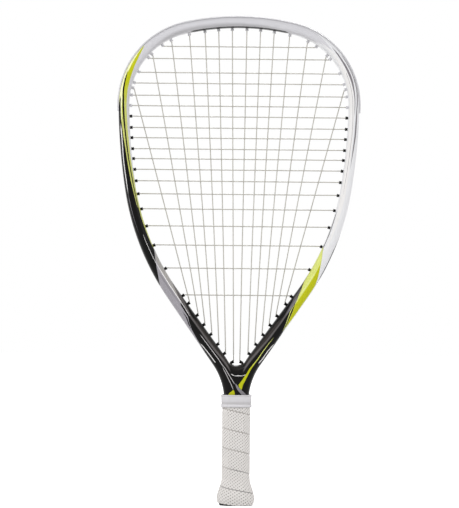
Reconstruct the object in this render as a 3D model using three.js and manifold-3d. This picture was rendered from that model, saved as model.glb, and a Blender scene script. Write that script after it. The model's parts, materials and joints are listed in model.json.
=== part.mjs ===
// A racquetball racket: a long-string composite frame with its bumper, grommet strips, woven
// string bed and wrapped handle. Millimetres, +Z from the butt to the crown, +X to the right
// as the front face (-Y) is seen. The origin is the middle of the butt's bottom face.
import * as THREE from "three";
import { mergeVertices, toCreasedNormals } from "three/addons/utils/BufferGeometryUtils.js";
import Module from "manifold-3d";

const wasm = await Module();
wasm.setup();
const radians = THREE.MathUtils.degToRad;

// The top of the straight shaft above the butt. With the hoop below, it makes the racket
// 558.8 long, the 22 inches that the game allows.
const shaftTopHeight = 118.06;

// The clearance between pieces that touch, and how far cutters run past what they cut.
const fitGap = 0.3;
const overrun = 1;
const chordError = (2 / 3) * fitGap;

// The outer edge of the hoop, from the middle of the crown down one side: four arcs that turn
// through these angles, a straight arm, and an arc that turns back into the shaft.
const crownRadius = 281.5;
const crownTurn = radians(13);
const shoulderRadius = 96;
const shoulderTurn = radians(78);
const flankRadius = 686;
const flankTurn = radians(8.2);
const haunchRadius = 294;
const haunchTurn = radians(25.5);
const throatRadius = 74.6;
const shaftHalfWidth = 14.2;

// The hollow tube that makes the hoop, the arms and the shaft.
const hoopWidth = 12.6;
const armWidth = 14.8;
const throatWidth = 17;
const frameDepth = 22;
const frameRoundness = 2.6;
const tubeWall = 1.5;
const boreRoundness = 2.2;
const seamGap = 0.6;
const boreSides = 6;
const shaftEndHeight = 14;

// Strings, the groove that they lie in and the grommets that line their holes.
const stringDiameter = 1.25;
const stringSides = 4;
const weaveClearance = 0.5;
const laneClearance = 0.35;
const laneEntry = 2.4;
const stringRecess = 0.75;
const tailLength = 6;
const tieSpacing = 12;
const liningWall = 0.7;
const liningFloor = 0.8;
const grommetDiameter = 3.4;
const grommetBore = 1.9;
const grommetProud = 2.2;
const bridgeGrommetExtra = 2.5;
const grooveRunOut = 9;

// Where the holes are, as shares of the edge from the crown to the foot of the arm.
// Mains are counted from the middle outwards, and crosses from the crown down. The mains'
// feet are shares of the way from the last cross to the middle main's foot, which is where
// the arms are this near the middle.
const mainTopShares = [0.017, 0.049, 0.081, 0.118, 0.167, 0.2285, 0.33];
const middleFootHalf = 8.2;
const mainFootShares = [1, 0.882, 0.74, 0.591, 0.443, 0.3, 0.118];
const crossShares = [
  0.1925, 0.241, 0.2855, 0.316, 0.349, 0.3765, 0.4005, 0.426, 0.449, 0.474,
  0.4965, 0.521, 0.547, 0.577, 0.613, 0.6545, 0.7025, 0.763, 0.8375,
];
const bumperCrosses = 6;

// The bumper's skirt stands proud of the crown by its gap and its own thickness.
const skirtThickness = 0.9;
const crownLift = fitGap + skirtThickness;

// The bridge fills the bottom of the V, from where the arms are this near the middle to a
// little past the holes of the middle mains.
const bridgeFootHalf = 0.63;
const bridgePastHole = 1.4;
const bridgeSag = 3.2;
const bridgeInset = 1.6;

// Handle: pallets round the shaft, the butt cap, the wound grip and the collar above it.
// The grip stands out from the shaft by these at its sides and its faces.
const gripOverSide = 1.9;
const gripOverFace = 3.2;
const palletSideWall = 1.2;
const palletFaceWall = 1.8;
const flareOut = 5.5;
const flareHeight = 31;
const flarePeakHeight = 9;
const flareEase = 0.5;
const heelRounding = 1.9;
const bevelShare = 0.52;
const throatBevelShare = 0.35;
const tapeThickness = 1.5;
const tapeEdgeThickness = 0.8;
const tapePitch = 22.3;
const tapeSeam = 0.6;
const firstSeamHeight = 18.5;
const tapeRowShares = [0, 0.08, 0.28, 0.5, 0.72, 0.92, 1];
const tapeTuck = 4;
const buttRimHeight = 1.9;
const buttFloor = 3;
const buttWall = 1.5;
const buttSkirtTop = 42;
const buttChamfer = 0.8;
const cordHoleDiameter = 4.6;
const collarRise = 8.2;
const collarHeight = 14.3;
const collarWall = 1.2;
const collarRim = 0.45;
const collarRimHeight = 2.2;
const collarRimShares = [0, 0.25, 0.75, 1];
const finishingTapeHeight = 7.7;
const finishingTapeThickness = 0.5;
const stapleWidth = 9;
const stapleWire = 0.8;
const staplePointWall = 0.4;
const stapleHeight = 37;

// Solids.

// A closed mesh of points and triangles as a solid, turned right side out.
function solidFrom(points, triangles) {
  const vertProperties = new Float32Array(points.flatMap((p) => [p.x, p.y, p.z]));
  const build = (list) =>
    new wasm.Manifold(
      new wasm.Mesh({ numProp: 3, vertProperties, triVerts: new Uint32Array(list.flat()) }),
    );
  const made = build(triangles);
  return made.volume() > 0 ? made : build(triangles.map(([a, b, c]) => [a, c, b]));
}

// The solid of a closed three.js geometry.
function solidOf(geometry) {
  const bare = geometry.clone();
  bare.deleteAttribute("normal");
  bare.deleteAttribute("uv");
  const merged = mergeVertices(bare, 1e-4);
  return new wasm.Manifold(
    new wasm.Mesh({
      numProp: 3,
      vertProperties: new Float32Array(merged.attributes.position.array),
      triVerts: new Uint32Array(merged.index.array),
    }),
  );
}

// Triangles that close a ring of points, on the ring's own plane.
function capTriangles(ring) {
  const centre = ring.reduce((sum, p) => sum.add(p), new THREE.Vector3()).divideScalar(ring.length);
  const normal = new THREE.Vector3();
  ring.forEach((p, i) => {
    const q = ring[(i + 1) % ring.length];
    normal.add(p.clone().sub(centre).cross(q.clone().sub(centre)));
  });
  normal.normalize();
  const across = ring[0].clone().sub(centre).projectOnPlane(normal).normalize();
  const up = normal.clone().cross(across);
  const flat = ring.map((p) => {
    const d = p.clone().sub(centre);
    return new THREE.Vector2(d.dot(across), d.dot(up));
  });
  return THREE.ShapeUtils.triangulateShape(flat, []);
}

// A solid skin over a row of rings that all have the same number of points.
function loft(rings) {
  const count = rings[0].length;
  const triangles = [];
  for (let r = 0; r + 1 < rings.length; r++)
    for (let i = 0; i < count; i++) {
      const a = r * count + i;
      const b = r * count + ((i + 1) % count);
      triangles.push([a, b, b + count], [a, b + count, a + count]);
    }
  const last = (rings.length - 1) * count;
  capTriangles(rings[0]).forEach(([a, b, c]) => triangles.push([a, c, b]));
  capTriangles(rings[rings.length - 1]).forEach(([a, b, c]) =>
    triangles.push([a + last, b + last, c + last]),
  );
  return solidFrom(rings.flat(), triangles);
}

// A tube of a few sides along straight stretches, mitred where they meet. One pair of its
// sides, or a corner and a side, faces the front and the back all the way.
function tube(path, diameter, sides) {
  // The circle through the corners of a polygon that has the round tube's own area.
  const radius =
    (diameter / 2) * Math.sqrt((2 * Math.PI) / (sides * Math.sin((2 * Math.PI) / sides)));
  const ways = path.slice(1).map((p, i) => p.clone().sub(path[i]).normalize());
  const rings = path.map((point, i) => {
    const before = ways[Math.max(i - 1, 0)];
    const after = ways[Math.min(i, ways.length - 1)];
    const mitre = before.clone().add(after).normalize();
    const across = new THREE.Vector3(0, 1, 0).projectOnPlane(mitre).normalize();
    const up = mitre.clone().cross(across);
    const bend = after.clone().sub(before).normalize();
    const stretch = 1 / before.dot(mitre) - 1;
    return Array.from({ length: sides }, (_, k) => {
      const angle = (2 * Math.PI * (k + 0.5)) / sides;
      const spoke = across.clone().multiplyScalar(Math.cos(angle) * radius);
      spoke.addScaledVector(up, Math.sin(angle) * radius);
      spoke.addScaledVector(bend, spoke.dot(bend) * stretch);
      return point.clone().add(spoke);
    });
  });
  return loft(rings);
}

// A straight bar with a regular section between two points.
function bar(from, to, radius, sides) {
  const way = to.clone().sub(from).normalize();
  const across = new THREE.Vector3(0, 1, 0).projectOnPlane(way).normalize();
  const up = way.clone().cross(across);
  const ringAt = (centre) =>
    Array.from({ length: sides }, (_, k) => {
      const angle = (2 * Math.PI * (k + 0.5)) / sides;
      return centre
        .clone()
        .addScaledVector(across, Math.cos(angle) * radius)
        .addScaledVector(up, Math.sin(angle) * radius);
    });
  return loft([ringAt(from), ringAt(to)]);
}

// A box between two corners.
function block(low, high) {
  const geometry = new THREE.BoxGeometry(high.x - low.x, high.y - low.y, high.z - low.z);
  geometry.translate((low.x + high.x) / 2, (low.y + high.y) / 2, (low.z + high.z) / 2);
  return solidOf(geometry);
}

const joined = (solids) => solids.reduce((sum, s) => sum.add(s));
const cut = (solid, cutters) => cutters.reduce((rest, c) => rest.subtract(c), solid);

// The hoop's edge as a path.

const edgePieces = [];

// One arc of the edge, which bends inwards for a positive radius, or a straight of a length.
// The edge is laid out from the middle of the crown at height 0 and raised afterwards.
function addEdgePiece(radius, amount) {
  const last = edgePieces[edgePieces.length - 1];
  const start = last
    ? pointOnPiece(last, last.length)
    : { x: 0, z: 0, heading: 0 };
  const from = last ? last.from + last.length : 0;
  const length = radius ? Math.abs(radius) * amount : amount;
  edgePieces.push({ ...start, from, radius, length });
}

// Heading is 0 towards +X and a quarter turn towards -Z.
function pointOnPiece(piece, along) {
  const { x, z, heading, radius } = piece;
  if (!radius)
    return { x: x + along * Math.cos(heading), z: z - along * Math.sin(heading), heading };
  const end = heading + along / radius;
  return {
    x: x + radius * (Math.sin(end) - Math.sin(heading)),
    z: z + radius * (Math.cos(end) - Math.cos(heading)),
    heading: end,
  };
}

addEdgePiece(crownRadius, crownTurn);
addEdgePiece(shoulderRadius, shoulderTurn);
addEdgePiece(flankRadius, flankTurn);
const haunchStart = edgePieces[2].from + edgePieces[2].length;
addEdgePiece(haunchRadius, haunchTurn);
const armStart = edgePieces[3].from + edgePieces[3].length;
const armLean = crownTurn + shoulderTurn + flankTurn + haunchTurn - Math.PI / 2;
const armTop = pointOnPiece(edgePieces[3], edgePieces[3].length);
const throatArcWidth = throatRadius * (1 - Math.cos(armLean));
addEdgePiece(0, (armTop.x - throatArcWidth - shaftHalfWidth) / Math.sin(armLean));
const armEnd = edgePieces[4].from + edgePieces[4].length;
addEdgePiece(-throatRadius, armLean);
const throatEnd = edgePieces[5].from + edgePieces[5].length;
const crownHeight = shaftTopHeight - pointOnPiece(edgePieces[5], edgePieces[5].length).z;
addEdgePiece(0, shaftTopHeight - shaftEndHeight);
const edgeEnd = throatEnd + shaftTopHeight - shaftEndHeight;

// Sizes of the handle, each built on the one inside it.
const gripHalfWidth = shaftHalfWidth + gripOverSide;
const gripHalfDepth = frameDepth / 2 + gripOverFace;
const underTape = tapeThickness + fitGap;
const palletInset = underTape + buttWall + fitGap;
const coreHalfWidth = gripHalfWidth - palletInset - palletSideWall - fitGap;
const coreHalfDepth = gripHalfDepth - palletInset - palletFaceWall - fitGap;

// Heights along the handle. Inside the collar the shaft draws in to pass through the pallets.
const collarTop = shaftTopHeight + collarRise;
const collarBottom = collarTop - collarHeight;
const tapeTop = collarBottom + tapeTuck;
const bandLow = tapeTop + fitGap;
const bandHigh = bandLow + finishingTapeHeight;
const coreTaperStart = throatEnd + shaftTopHeight - collarTop;
const coreTaperEnd = throatEnd + shaftTopHeight - bandLow;

function edgeAt(along) {
  const piece = edgePieces.findLast((p) => along >= p.from) ?? edgePieces[0];
  const point = pointOnPiece(piece, along - piece.from);
  return { ...point, z: point.z + crownHeight };
}

function tubeWidthAt(along) {
  if (along < haunchStart) return hoopWidth;
  if (along < armStart)
    return THREE.MathUtils.mapLinear(along, haunchStart, armStart, hoopWidth, armWidth);
  return THREE.MathUtils.mapLinear(Math.min(along, armEnd), armStart, armEnd, armWidth, throatWidth);
}

// A point beside an arm, off its inner face by a gap, at a distance along the edge.
function besideArm(along, gap) {
  const edge = edgeAt(along);
  const out = tubeWidthAt(along) + gap;
  return { x: edge.x - out * Math.sin(edge.heading), z: edge.z - out * Math.cos(edge.heading) };
}

// The distance along the edge at which such a point comes this near the middle, by halving.
function alongAtHalf(half, gap) {
  let low = armStart;
  let high = throatEnd;
  for (let i = 0; i < 40; i++) {
    const middle = (low + high) / 2;
    if (besideArm(middle, gap).x > half) low = middle;
    else high = middle;
  }
  return low;
}

const lastCross = crossShares.at(-1) * armEnd;
const middleFoot = alongAtHalf(middleFootHalf, 0);
const mainFootAlongs = mainFootShares.map((share) =>
  THREE.MathUtils.lerp(lastCross, middleFoot, share),
);

// The groove for the strings ends a little past the last hole.
const grooveEnd = mainFootAlongs[0] + grooveRunOut;

// How far the shaft has drawn in, from 0 at its full size to 1 inside the pallets.
const drawnInAt = (along) =>
  THREE.MathUtils.clamp((along - coreTaperStart) / (coreTaperEnd - coreTaperStart), 0, 1);

// A place on the racket: along the edge from the crown, where a negative distance is on the
// left, then out from the edge and back in depth. Below the hoop nothing crosses the seam
// between the two sides, and the shaft draws in to fit inside the handle.
function place(along, outward, depth, seam = 0) {
  const side = along < 0 ? -1 : 1;
  const distance = Math.abs(along);
  const edge = edgeAt(distance);
  const drawnIn = drawnInAt(distance);
  const x =
    edge.x + outward * Math.sin(edge.heading) - drawnIn * (shaftHalfWidth - coreHalfWidth);
  return new THREE.Vector3(
    side * (distance > armStart ? Math.max(x, seam) : x),
    depth * (1 - drawnIn * (1 - (2 * coreHalfDepth) / frameDepth)),
    edge.z + outward * Math.cos(edge.heading),
  );
}

// Distances along one side at which a sweep needs a ring, between two limits.
function stationsBetween(from, to) {
  const list = [from, to];
  for (const piece of edgePieces) {
    list.push(piece.from);
    if (!piece.radius) continue;
    const step = 2 * Math.acos(1 - chordError / Math.abs(piece.radius));
    const count = Math.ceil(piece.length / Math.abs(piece.radius) / step);
    for (let i = 1; i < count; i++) list.push(piece.from + (piece.length * i) / count);
  }
  list.push(coreTaperStart, coreTaperEnd, grooveEnd, grooveEnd + stringDiameter * 2);
  const inside = list.filter((v) => v >= from && v <= to).sort((a, b) => a - b);
  return inside.filter((v, i) => i === 0 || v - inside[i - 1] > fitGap);
}

// The same stations on both sides, from one left limit to the matching right one.
function stationsAcross(limit) {
  const right = stationsBetween(0, limit);
  return [...right.slice(1).reverse().map((v) => -v), ...right];
}

// Sections, as points [out from the edge, depth].

const roundedPoint = (angle, halfA, halfB, roundness) => [
  Math.sign(Math.cos(angle)) * Math.abs(Math.cos(angle)) ** (2 / roundness) * halfA,
  Math.sign(Math.sin(angle)) * Math.abs(Math.sin(angle)) ** (2 / roundness) * halfB,
];

const laneOffset = stringDiameter + laneClearance;
const channelHalf = laneOffset + stringDiameter / 2 + fitGap;
const grooveHalf = channelHalf + liningWall + fitGap;
const grooveDepth = liningFloor + stringDiameter + stringRecess;
const floorTop = -(grooveDepth - fitGap - liningFloor);
const laneDepth = floorTop + fitGap + stringDiameter / 2;
const lipShare = 1 - (1 - (grooveHalf / (frameDepth / 2)) ** frameRoundness) ** (1 / frameRoundness);

// Half of the tube's outside, from the groove's lip over the face to the inner nose.
const frameAngles = [35, 62, 90, 118, 146, 165].map(radians);

function frameSection(along) {
  const half = tubeWidthAt(Math.abs(along)) / 2;
  const groove = Math.abs(along) > grooveEnd ? fitGap : grooveDepth;
  const upper = [
    [-groove, grooveHalf],
    [-lipShare * half, grooveHalf],
    ...frameAngles.map((angle) => {
      const [a, b] = roundedPoint(angle, half, frameDepth / 2, frameRoundness);
      return [a - half, b];
    }),
  ];
  return [...upper, ...upper.map(([a, b]) => [a, -b]).reverse()];
}

function boreSection(along) {
  const nose = -tubeWidthAt(Math.abs(along)) + tubeWall;
  const mouth = -grooveDepth - tubeWall;
  return Array.from({ length: boreSides }, (_, k) => {
    const angle = (2 * Math.PI * (k + 0.5)) / boreSides;
    const halfA = (mouth - nose) / 2;
    const [a, b] = roundedPoint(angle, halfA, frameDepth / 2 - tubeWall, boreRoundness);
    return [a + (mouth + nose) / 2, b];
  });
}

// The flat lining of the groove, which carries the grommets down the sides.
const stripSection = () => {
  const half = grooveHalf - fitGap;
  return [
    [-grooveDepth + fitGap, half],
    [floorTop, half],
    [floorTop, -half],
    [-grooveDepth + fitGap, -half],
  ];
};

// The bumper lines the groove, comes up both of its walls and laps over the crown's outside.
function bumperSection(along) {
  const half = tubeWidthAt(Math.abs(along)) / 2;
  const [reachA, reachB] = roundedPoint(frameAngles[0], half, frameDepth / 2, frameRoundness);
  const lean = Math.atan2(reachB / frameDepth, reachA / (2 * half));
  const offset = (by) => [reachA - half + by * Math.cos(lean), reachB + by * Math.sin(lean)];
  const upper = [
    [-grooveDepth + fitGap, grooveHalf - fitGap],
    [fitGap - lipShare * half, grooveHalf - fitGap],
    offset(fitGap),
    offset(crownLift),
    [crownLift, grooveHalf + liningWall],
    [crownLift, channelHalf],
    [floorTop, channelHalf],
  ];
  return [...upper, ...upper.map(([a, b]) => [a, -b]).reverse()];
}

const sweep = (stations, sectionAt, seam = 0) =>
  loft(stations.map((s) => sectionAt(s).map(([a, b]) => place(s, a, b, seam))));

// Holes and grommets.

const holeAt = (along, extra = 0) => ({
  along,
  mouth: -(tubeWidthAt(along) + grommetProud + extra),
});
const mainTops = mainTopShares.map((share) => holeAt(share * armEnd));
const mainFeet = mainFootAlongs.map((along, i) => holeAt(along, i ? 0 : bridgeGrommetExtra));
const crossEnds = crossShares.map((share) => holeAt(share * armEnd));
const sideHoles = [...mainTops, ...mainFeet, ...crossEnds];
const allHoles = [-1, 1].flatMap((side) =>
  sideHoles.map(({ along, mouth }) => ({ along: side * along, mouth })),
);
const between = (from, to) => allHoles.filter((h) => h.along > from && h.along < to);

// A straight bar square to the edge at a hole, between two distances out from the edge.
// It keeps straight through the seam, which the sections of the frame don't.
function borePin(along, inner, outer, diameter, sides) {
  const distance = Math.abs(along);
  const side = Math.sign(along);
  const edge = edgeAt(distance);
  const at = (outward) =>
    new THREE.Vector3(
      side * (edge.x + outward * Math.sin(edge.heading)),
      0,
      edge.z + outward * Math.cos(edge.heading),
    );
  return bar(at(inner), at(outer), diameter / 2 / Math.cos(Math.PI / sides), sides);
}

const grommetSides = 5;
const drillFrame = (hole) =>
  borePin(hole.along, hole.mouth - overrun, overrun, grommetDiameter + 2 * fitGap, grommetSides);

// A strip or the bumper with a grommet standing on its floor at each hole, all drilled.
function withGrommets(lining, holes) {
  const barrels = holes.map((h) =>
    borePin(h.along, h.mouth, floorTop - liningFloor / 2, grommetDiameter, grommetSides),
  );
  const bores = holes.map((h) =>
    borePin(h.along, h.mouth - overrun, floorTop + overrun / 2, grommetBore, 4),
  );
  return cut(joined([lining, ...barrels]), [joined(bores)]);
}

function makeFrame() {
  const shell = sweep(stationsAcross(edgeEnd), frameSection, seamGap / 2);
  const boreStations = stationsAcross(edgeEnd);
  const bore = loft(
    boreStations.map((s, i) => {
      const ring = boreSection(s).map(([a, b]) => place(s, a, b, seamGap / 2 + tubeWall));
      const atEnd = i === 0 || i === boreStations.length - 1;
      return atEnd ? ring.map((p) => p.setZ(p.z - overrun)) : ring;
    }),
  );
  return cut(shell, [bore, joined(allHoles.map(drillFrame))]);
}

// The bumper ends halfway between two crosses, and the side strips halfway between the last
// cross and the first main.
const bumperEnd = (crossEnds[bumperCrosses - 1].along + crossEnds[bumperCrosses].along) / 2;
const sideStripEnd = (crossEnds.at(-1).along + mainFeet.at(-1).along) / 2;
const throatStripEnd = grooveEnd - fitGap;

function makeBumper() {
  const lining = sweep(stationsAcross(bumperEnd), bumperSection);
  return withGrommets(lining, between(-bumperEnd, bumperEnd));
}

// A strip of grommets on one side, +1 right or -1 left, between two distances from the crown.
function makeStrip(side, from, to) {
  const stations = stationsBetween(from, to).map((s) => side * s);
  const holes = side > 0 ? between(from, to) : between(-to, -from);
  return withGrommets(sweep(stations, stripSection), holes);
}

// The bridge: a moulded web that fills the V between the arms, with a sagging top.
function makeBridge() {
  const steps = 6;
  const foot = alongAtHalf(bridgeFootHalf, fitGap);
  const top = mainFootAlongs[0] - bridgePastHole;
  const wall = Array.from({ length: steps + 1 }, (_, i) =>
    besideArm(THREE.MathUtils.lerp(foot, top, i / steps), fitGap),
  );
  const shoulder = wall[steps];
  const sagging = Array.from({ length: steps - 1 }, (_, i) => {
    const x = shoulder.x * (1 - (2 * (i + 1)) / steps);
    return { x, z: shoulder.z - bridgeSag * (1 - (x / shoulder.x) ** 2) };
  });
  const mirrored = wall.map(({ x, z }) => ({ x: -x, z })).reverse();
  const outline = [...wall, ...sagging, ...mirrored].map(({ x, z }) => new THREE.Vector2(x, z));
  const depth = frameDepth - 2 * bridgeInset;
  const options = { depth, bevelEnabled: false };
  const geometry = new THREE.ExtrudeGeometry(new THREE.Shape(outline), options);
  geometry.rotateX(Math.PI / 2);
  geometry.translate(0, depth / 2, 0);
  return cut(solidOf(geometry), between(-throatEnd, throatEnd).map(drillFrame));
}

// Strings.

// The way from a string's mouth inside the hoop through its grommet to its lane outside.
function outThrough(hole, side, lane, towards) {
  const s = side * hole.along;
  return [
    place(s, hole.mouth - stringDiameter, 0),
    place(s, laneDepth, 0),
    place(s + towards * laneEntry, laneDepth, lane),
  ];
}

// The run in the groove between two holes, both given as signed distances.
function laneRun(from, to, lane) {
  const steps = Math.max(1, Math.round(Math.abs(to - from) / tieSpacing));
  const points = [];
  for (let i = 1; i < steps; i++)
    points.push(place(THREE.MathUtils.lerp(from, to, i / steps), laneDepth, lane));
  return points;
}

const weaveHeight = stringDiameter + weaveClearance;
const mouthOf = (hole, side) => place(side * hole.along, hole.mouth - stringDiameter, 0);

// The mains from left to right, and the crosses from the crown down, as lines in the bed.
const mainLines = [-1, 1].flatMap((side) => {
  const lines = mainTops.map((top, i) => ({
    side,
    top,
    foot: mainFeet[i],
    from: mouthOf(top, side),
    to: mouthOf(mainFeet[i], side),
  }));
  return side < 0 ? lines.reverse() : lines;
});
const crossLines = crossEnds.map((end) => ({
  end,
  from: mouthOf(end, -1),
  to: mouthOf(end, 1),
}));

// Where a main passes a cross, or null where they don't meet inside the hoop.
function crossing(main, cross) {
  const share = (main.from.z - cross.from.z) / (main.from.z - main.to.z);
  if (share <= 0 || share >= 1) return null;
  const x = THREE.MathUtils.lerp(main.from.x, main.to.x, share);
  return x > cross.from.x && x < cross.to.x ? { x, z: cross.from.z } : null;
}

// The mains are pulled straight. Each cross is then woven over one main, in front, and under
// the next, and its neighbours the other way round.
const wovenPoints = (cross, j) =>
  mainLines.flatMap((main, i) => {
    const at = crossing(main, cross);
    return at ? [new THREE.Vector3(at.x, ((i + j) % 2 ? -1 : 1) * weaveHeight, at.z)] : [];
  });

const addTail = (points, s, towards, lane) =>
  points.push(place(s + towards * tailLength, laneDepth, lane));

function makeMainString() {
  const lane = -laneOffset;
  const points = [];
  mainLines.forEach((main, i) => {
    const up = i % 2 === 0;
    const entry = up ? main.foot : main.top;
    const exit = up ? main.top : main.foot;
    const before = mainLines[i - 1];
    const after = mainLines[i + 1];
    const entryAt = main.side * entry.along;
    const exitAt = main.side * exit.along;
    const cameFrom = before ? before.side * (up ? before.foot : before.top).along : -edgeEnd;
    const goesTo = after ? after.side * (up ? after.top : after.foot).along : edgeEnd;
    const inward = outThrough(entry, main.side, lane, Math.sign(cameFrom - entryAt)).reverse();
    const outward = outThrough(exit, main.side, lane, Math.sign(goesTo - exitAt));
    if (!before) addTail(points, entryAt, Math.sign(cameFrom - entryAt), lane);
    points.push(...inward, ...outward);
    if (after) points.push(...laneRun(exitAt, goesTo, lane));
    else addTail(points, exitAt, Math.sign(goesTo - exitAt), lane);
  });
  return tube(points, stringDiameter, stringSides);
}

function makeCrossString() {
  const lane = laneOffset;
  const points = [];
  crossLines.forEach((cross, j) => {
    const side = j % 2 === 0 ? 1 : -1;
    const woven = wovenPoints(cross, j);
    const here = cross.end.along;
    const above = crossLines[j - 1];
    const below = crossLines[j + 1];
    const inward = outThrough(cross.end, -side, lane, above ? side : -side).reverse();
    const outward = outThrough(cross.end, side, lane, side);
    if (!above) addTail(points, -side * here, -side, lane);
    points.push(...inward, ...(side > 0 ? woven : woven.reverse()), ...outward);
    if (below) points.push(...laneRun(side * here, side * below.end.along, lane));
    else addTail(points, side * here, side, lane);
  });
  return tube(points, stringDiameter, stringSides);
}

// Handle.

// The eight corners of a section of the handle at a height. Its slanted sides cut this much
// off the corners.
function octagon(halfX, halfY, height, bevel = bevelShare * Math.min(halfX, halfY)) {
  return [
    [halfX, -halfY + bevel],
    [halfX, halfY - bevel],
    [halfX - bevel, halfY],
    [-halfX + bevel, halfY],
    [-halfX, halfY - bevel],
    [-halfX, -halfY + bevel],
    [-halfX + bevel, -halfY],
    [halfX - bevel, -halfY],
  ].map(([x, y]) => new THREE.Vector3(x, y, height));
}

// How far the wound grip stands out from its straight part at a height.
function flareAt(height) {
  if (height >= flarePeakHeight)
    return flareOut * (1 - THREE.MathUtils.smoothstep(height, flarePeakHeight - overrun, flareHeight));
  const share = 1 - height / flarePeakHeight;
  return flareOut - heelRounding * share * share;
}

// A column of the handle: rings at heights, each with its inset from the grip's outside.
const column = (levels) =>
  loft(
    levels.map(([height, inset]) => {
      const out = flareAt(height) - inset;
      return octagon(gripHalfWidth + out, gripHalfDepth + out, height);
    }),
  );

const flareLevels = [0, 0.12, 0.3, 0.5, 0.7, 0.88, 1].map((share) =>
  THREE.MathUtils.lerp(flarePeakHeight, flareHeight, share),
);

// How far a corner of the shaft's core reaches, as the sum of its two distances out.
const coreCorner = Math.max(
  ...frameAngles.map((angle) => {
    const half = throatWidth / 2;
    const [a, b] = roundedPoint(angle, half, coreHalfDepth, frameRoundness);
    return coreHalfWidth - half + a + b;
  }),
);

// One half of the pallet, +1 back or -1 front, hollowed for the shaft.
function makePallet(side) {
  const foot = buttFloor + fitGap;
  const step = buttSkirtTop + fitGap;
  const straight = (height, inset) =>
    octagon(gripHalfWidth - inset, gripHalfDepth - inset, height);
  const body = loft([
    straight(foot, palletInset),
    straight(step, palletInset),
    straight(step, underTape),
    straight(tapeTop, underTape),
  ]);
  const halves = [coreHalfWidth + fitGap, coreHalfDepth + fitGap];
  const bevel = halves[0] + halves[1] - coreCorner - Math.SQRT2 * fitGap;
  const hollow = loft(
    [-overrun, tapeTop + overrun].map((height) => octagon(...halves, height, bevel)),
  );
  const near = side > 0 ? fitGap / 2 : -gripHalfDepth;
  const far = side > 0 ? gripHalfDepth : -fitGap / 2;
  const half = block(
    new THREE.Vector3(-gripHalfWidth, near, -overrun),
    new THREE.Vector3(gripHalfWidth, far, tapeTop + overrun),
  );
  return cut(body, [hollow, joined(stapleLegs(fitGap))]).intersect(half);
}

// A staple lies in a pocket in the cap's skirt, in front or behind, with its legs in the pallet.
const stapleFace = gripHalfDepth - underTape;
const staplePoint = coreHalfDepth + fitGap + staplePointWall;

function stapleBody(side, grow) {
  const wire = stapleWire / 2 + grow;
  // A box between two sideways limits and two depths, both measured outwards from the middle.
  const stroke = (left, right, inner, outer) =>
    block(
      new THREE.Vector3(left, side > 0 ? inner : -outer, stapleHeight - wire),
      new THREE.Vector3(right, side > 0 ? outer : -inner, stapleHeight + wire),
    );
  const half = stapleWidth / 2 + grow;
  const crown = stroke(-half, half, stapleFace - stapleWire - grow, stapleFace + grow);
  const legs = [-1, 1].map((end) => {
    const middle = (end * (stapleWidth - stapleWire)) / 2;
    return stroke(middle - wire, middle + wire, staplePoint - grow, stapleFace);
  });
  return joined([crown, ...legs]);
}
const stapleLegs = (grow) => [-1, 1].map((side) => stapleBody(side, grow));

// The cap's flare sits a little deeper, because the flat strip bridges its curve.
function makeButtCap() {
  const rim = tapeEdgeThickness + fitGap;
  const flareInset = underTape + flareEase;
  const body = column([
    [0, rim + buttChamfer],
    [buttChamfer, rim],
    [buttRimHeight, rim],
    [buttRimHeight, flareInset],
    [(buttRimHeight + flarePeakHeight) / 2, flareInset],
    ...flareLevels.map((height) => [height, flareInset]),
    [flareHeight, underTape],
    [buttSkirtTop, underTape],
  ]);
  const inner = (height) =>
    octagon(gripHalfWidth - underTape - buttWall, gripHalfDepth - underTape - buttWall, height);
  const hollow = loft([inner(buttFloor), inner(buttSkirtTop + overrun)]);
  const hole = bar(
    new THREE.Vector3(0, 0, -overrun),
    new THREE.Vector3(0, 0, buttFloor + overrun),
    cordHoleDiameter / 2,
    8,
  );
  return cut(body, [hollow, hole, ...stapleLegs(fitGap)]);
}

// The grip: one strip wound up the handle, trimmed level at the butt and under the collar.
// Its edges are thinner than its middle, which draws the seam between the turns.
function makeGripWrap() {
  const bottom = buttRimHeight + fitGap;
  const perTurn = 8;
  const width = tapePitch - tapeSeam;
  // The strip starts two turns below the first seam in the middle of the front face, which
  // is halfway from the second corner of a turn to the third.
  const start = firstSeamHeight - tapePitch * (2 + 1.5 / perTurn);
  const steps = Math.ceil((perTurn * (tapeTop - start)) / tapePitch);
  const rings = [];
  for (let i = 0; i <= steps; i++) {
    const low = start + (tapePitch * i) / perTurn;
    const corner = (perTurn - (i % perTurn)) % perTurn;
    const point = (row, lift) => {
      const height = low + row * width;
      const out = flareAt(THREE.MathUtils.clamp(height, 0, tapeTop)) - tapeThickness + lift;
      return octagon(gripHalfWidth + out, gripHalfDepth + out, height)[corner];
    };
    const outside = tapeRowShares.map((row) =>
      point(row, row > 0 && row < 1 ? tapeThickness : tapeEdgeThickness),
    );
    rings.push([...tapeRowShares.map((row) => point(row, 0)), ...outside.reverse()]);
  }
  measureTurns(rings, perTurn);
  const wide = gripHalfWidth + flareOut + overrun;
  const length = block(
    new THREE.Vector3(-wide, -wide, bottom),
    new THREE.Vector3(wide, wide, tapeTop),
  );
  return loft(rings).intersect(length);
}

// The least gap between one turn of the winding and the next, on points.
function measureTurns(rings, perTurn) {
  let least = Infinity;
  rings.slice(perTurn).forEach((ring, i) =>
    ring.forEach((p) => rings[i].forEach((q) => (least = Math.min(least, p.distanceTo(q))))),
  );
  console.log("least gap between the turns of the grip: " + least.toFixed(2) + " mm");
}

// The shaft's half width and half depth at a height inside the collar, with a clearance.
function shaftAt(height, clearance) {
  const drawnIn = drawnInAt(throatEnd + shaftTopHeight - height);
  const spread = Math.max(height - shaftTopHeight, 0) ** 2 / (2 * throatRadius);
  return [
    THREE.MathUtils.lerp(shaftHalfWidth + spread, coreHalfWidth, drawnIn) + clearance,
    THREE.MathUtils.lerp(frameDepth / 2, coreHalfDepth, drawnIn) + clearance,
  ];
}

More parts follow.
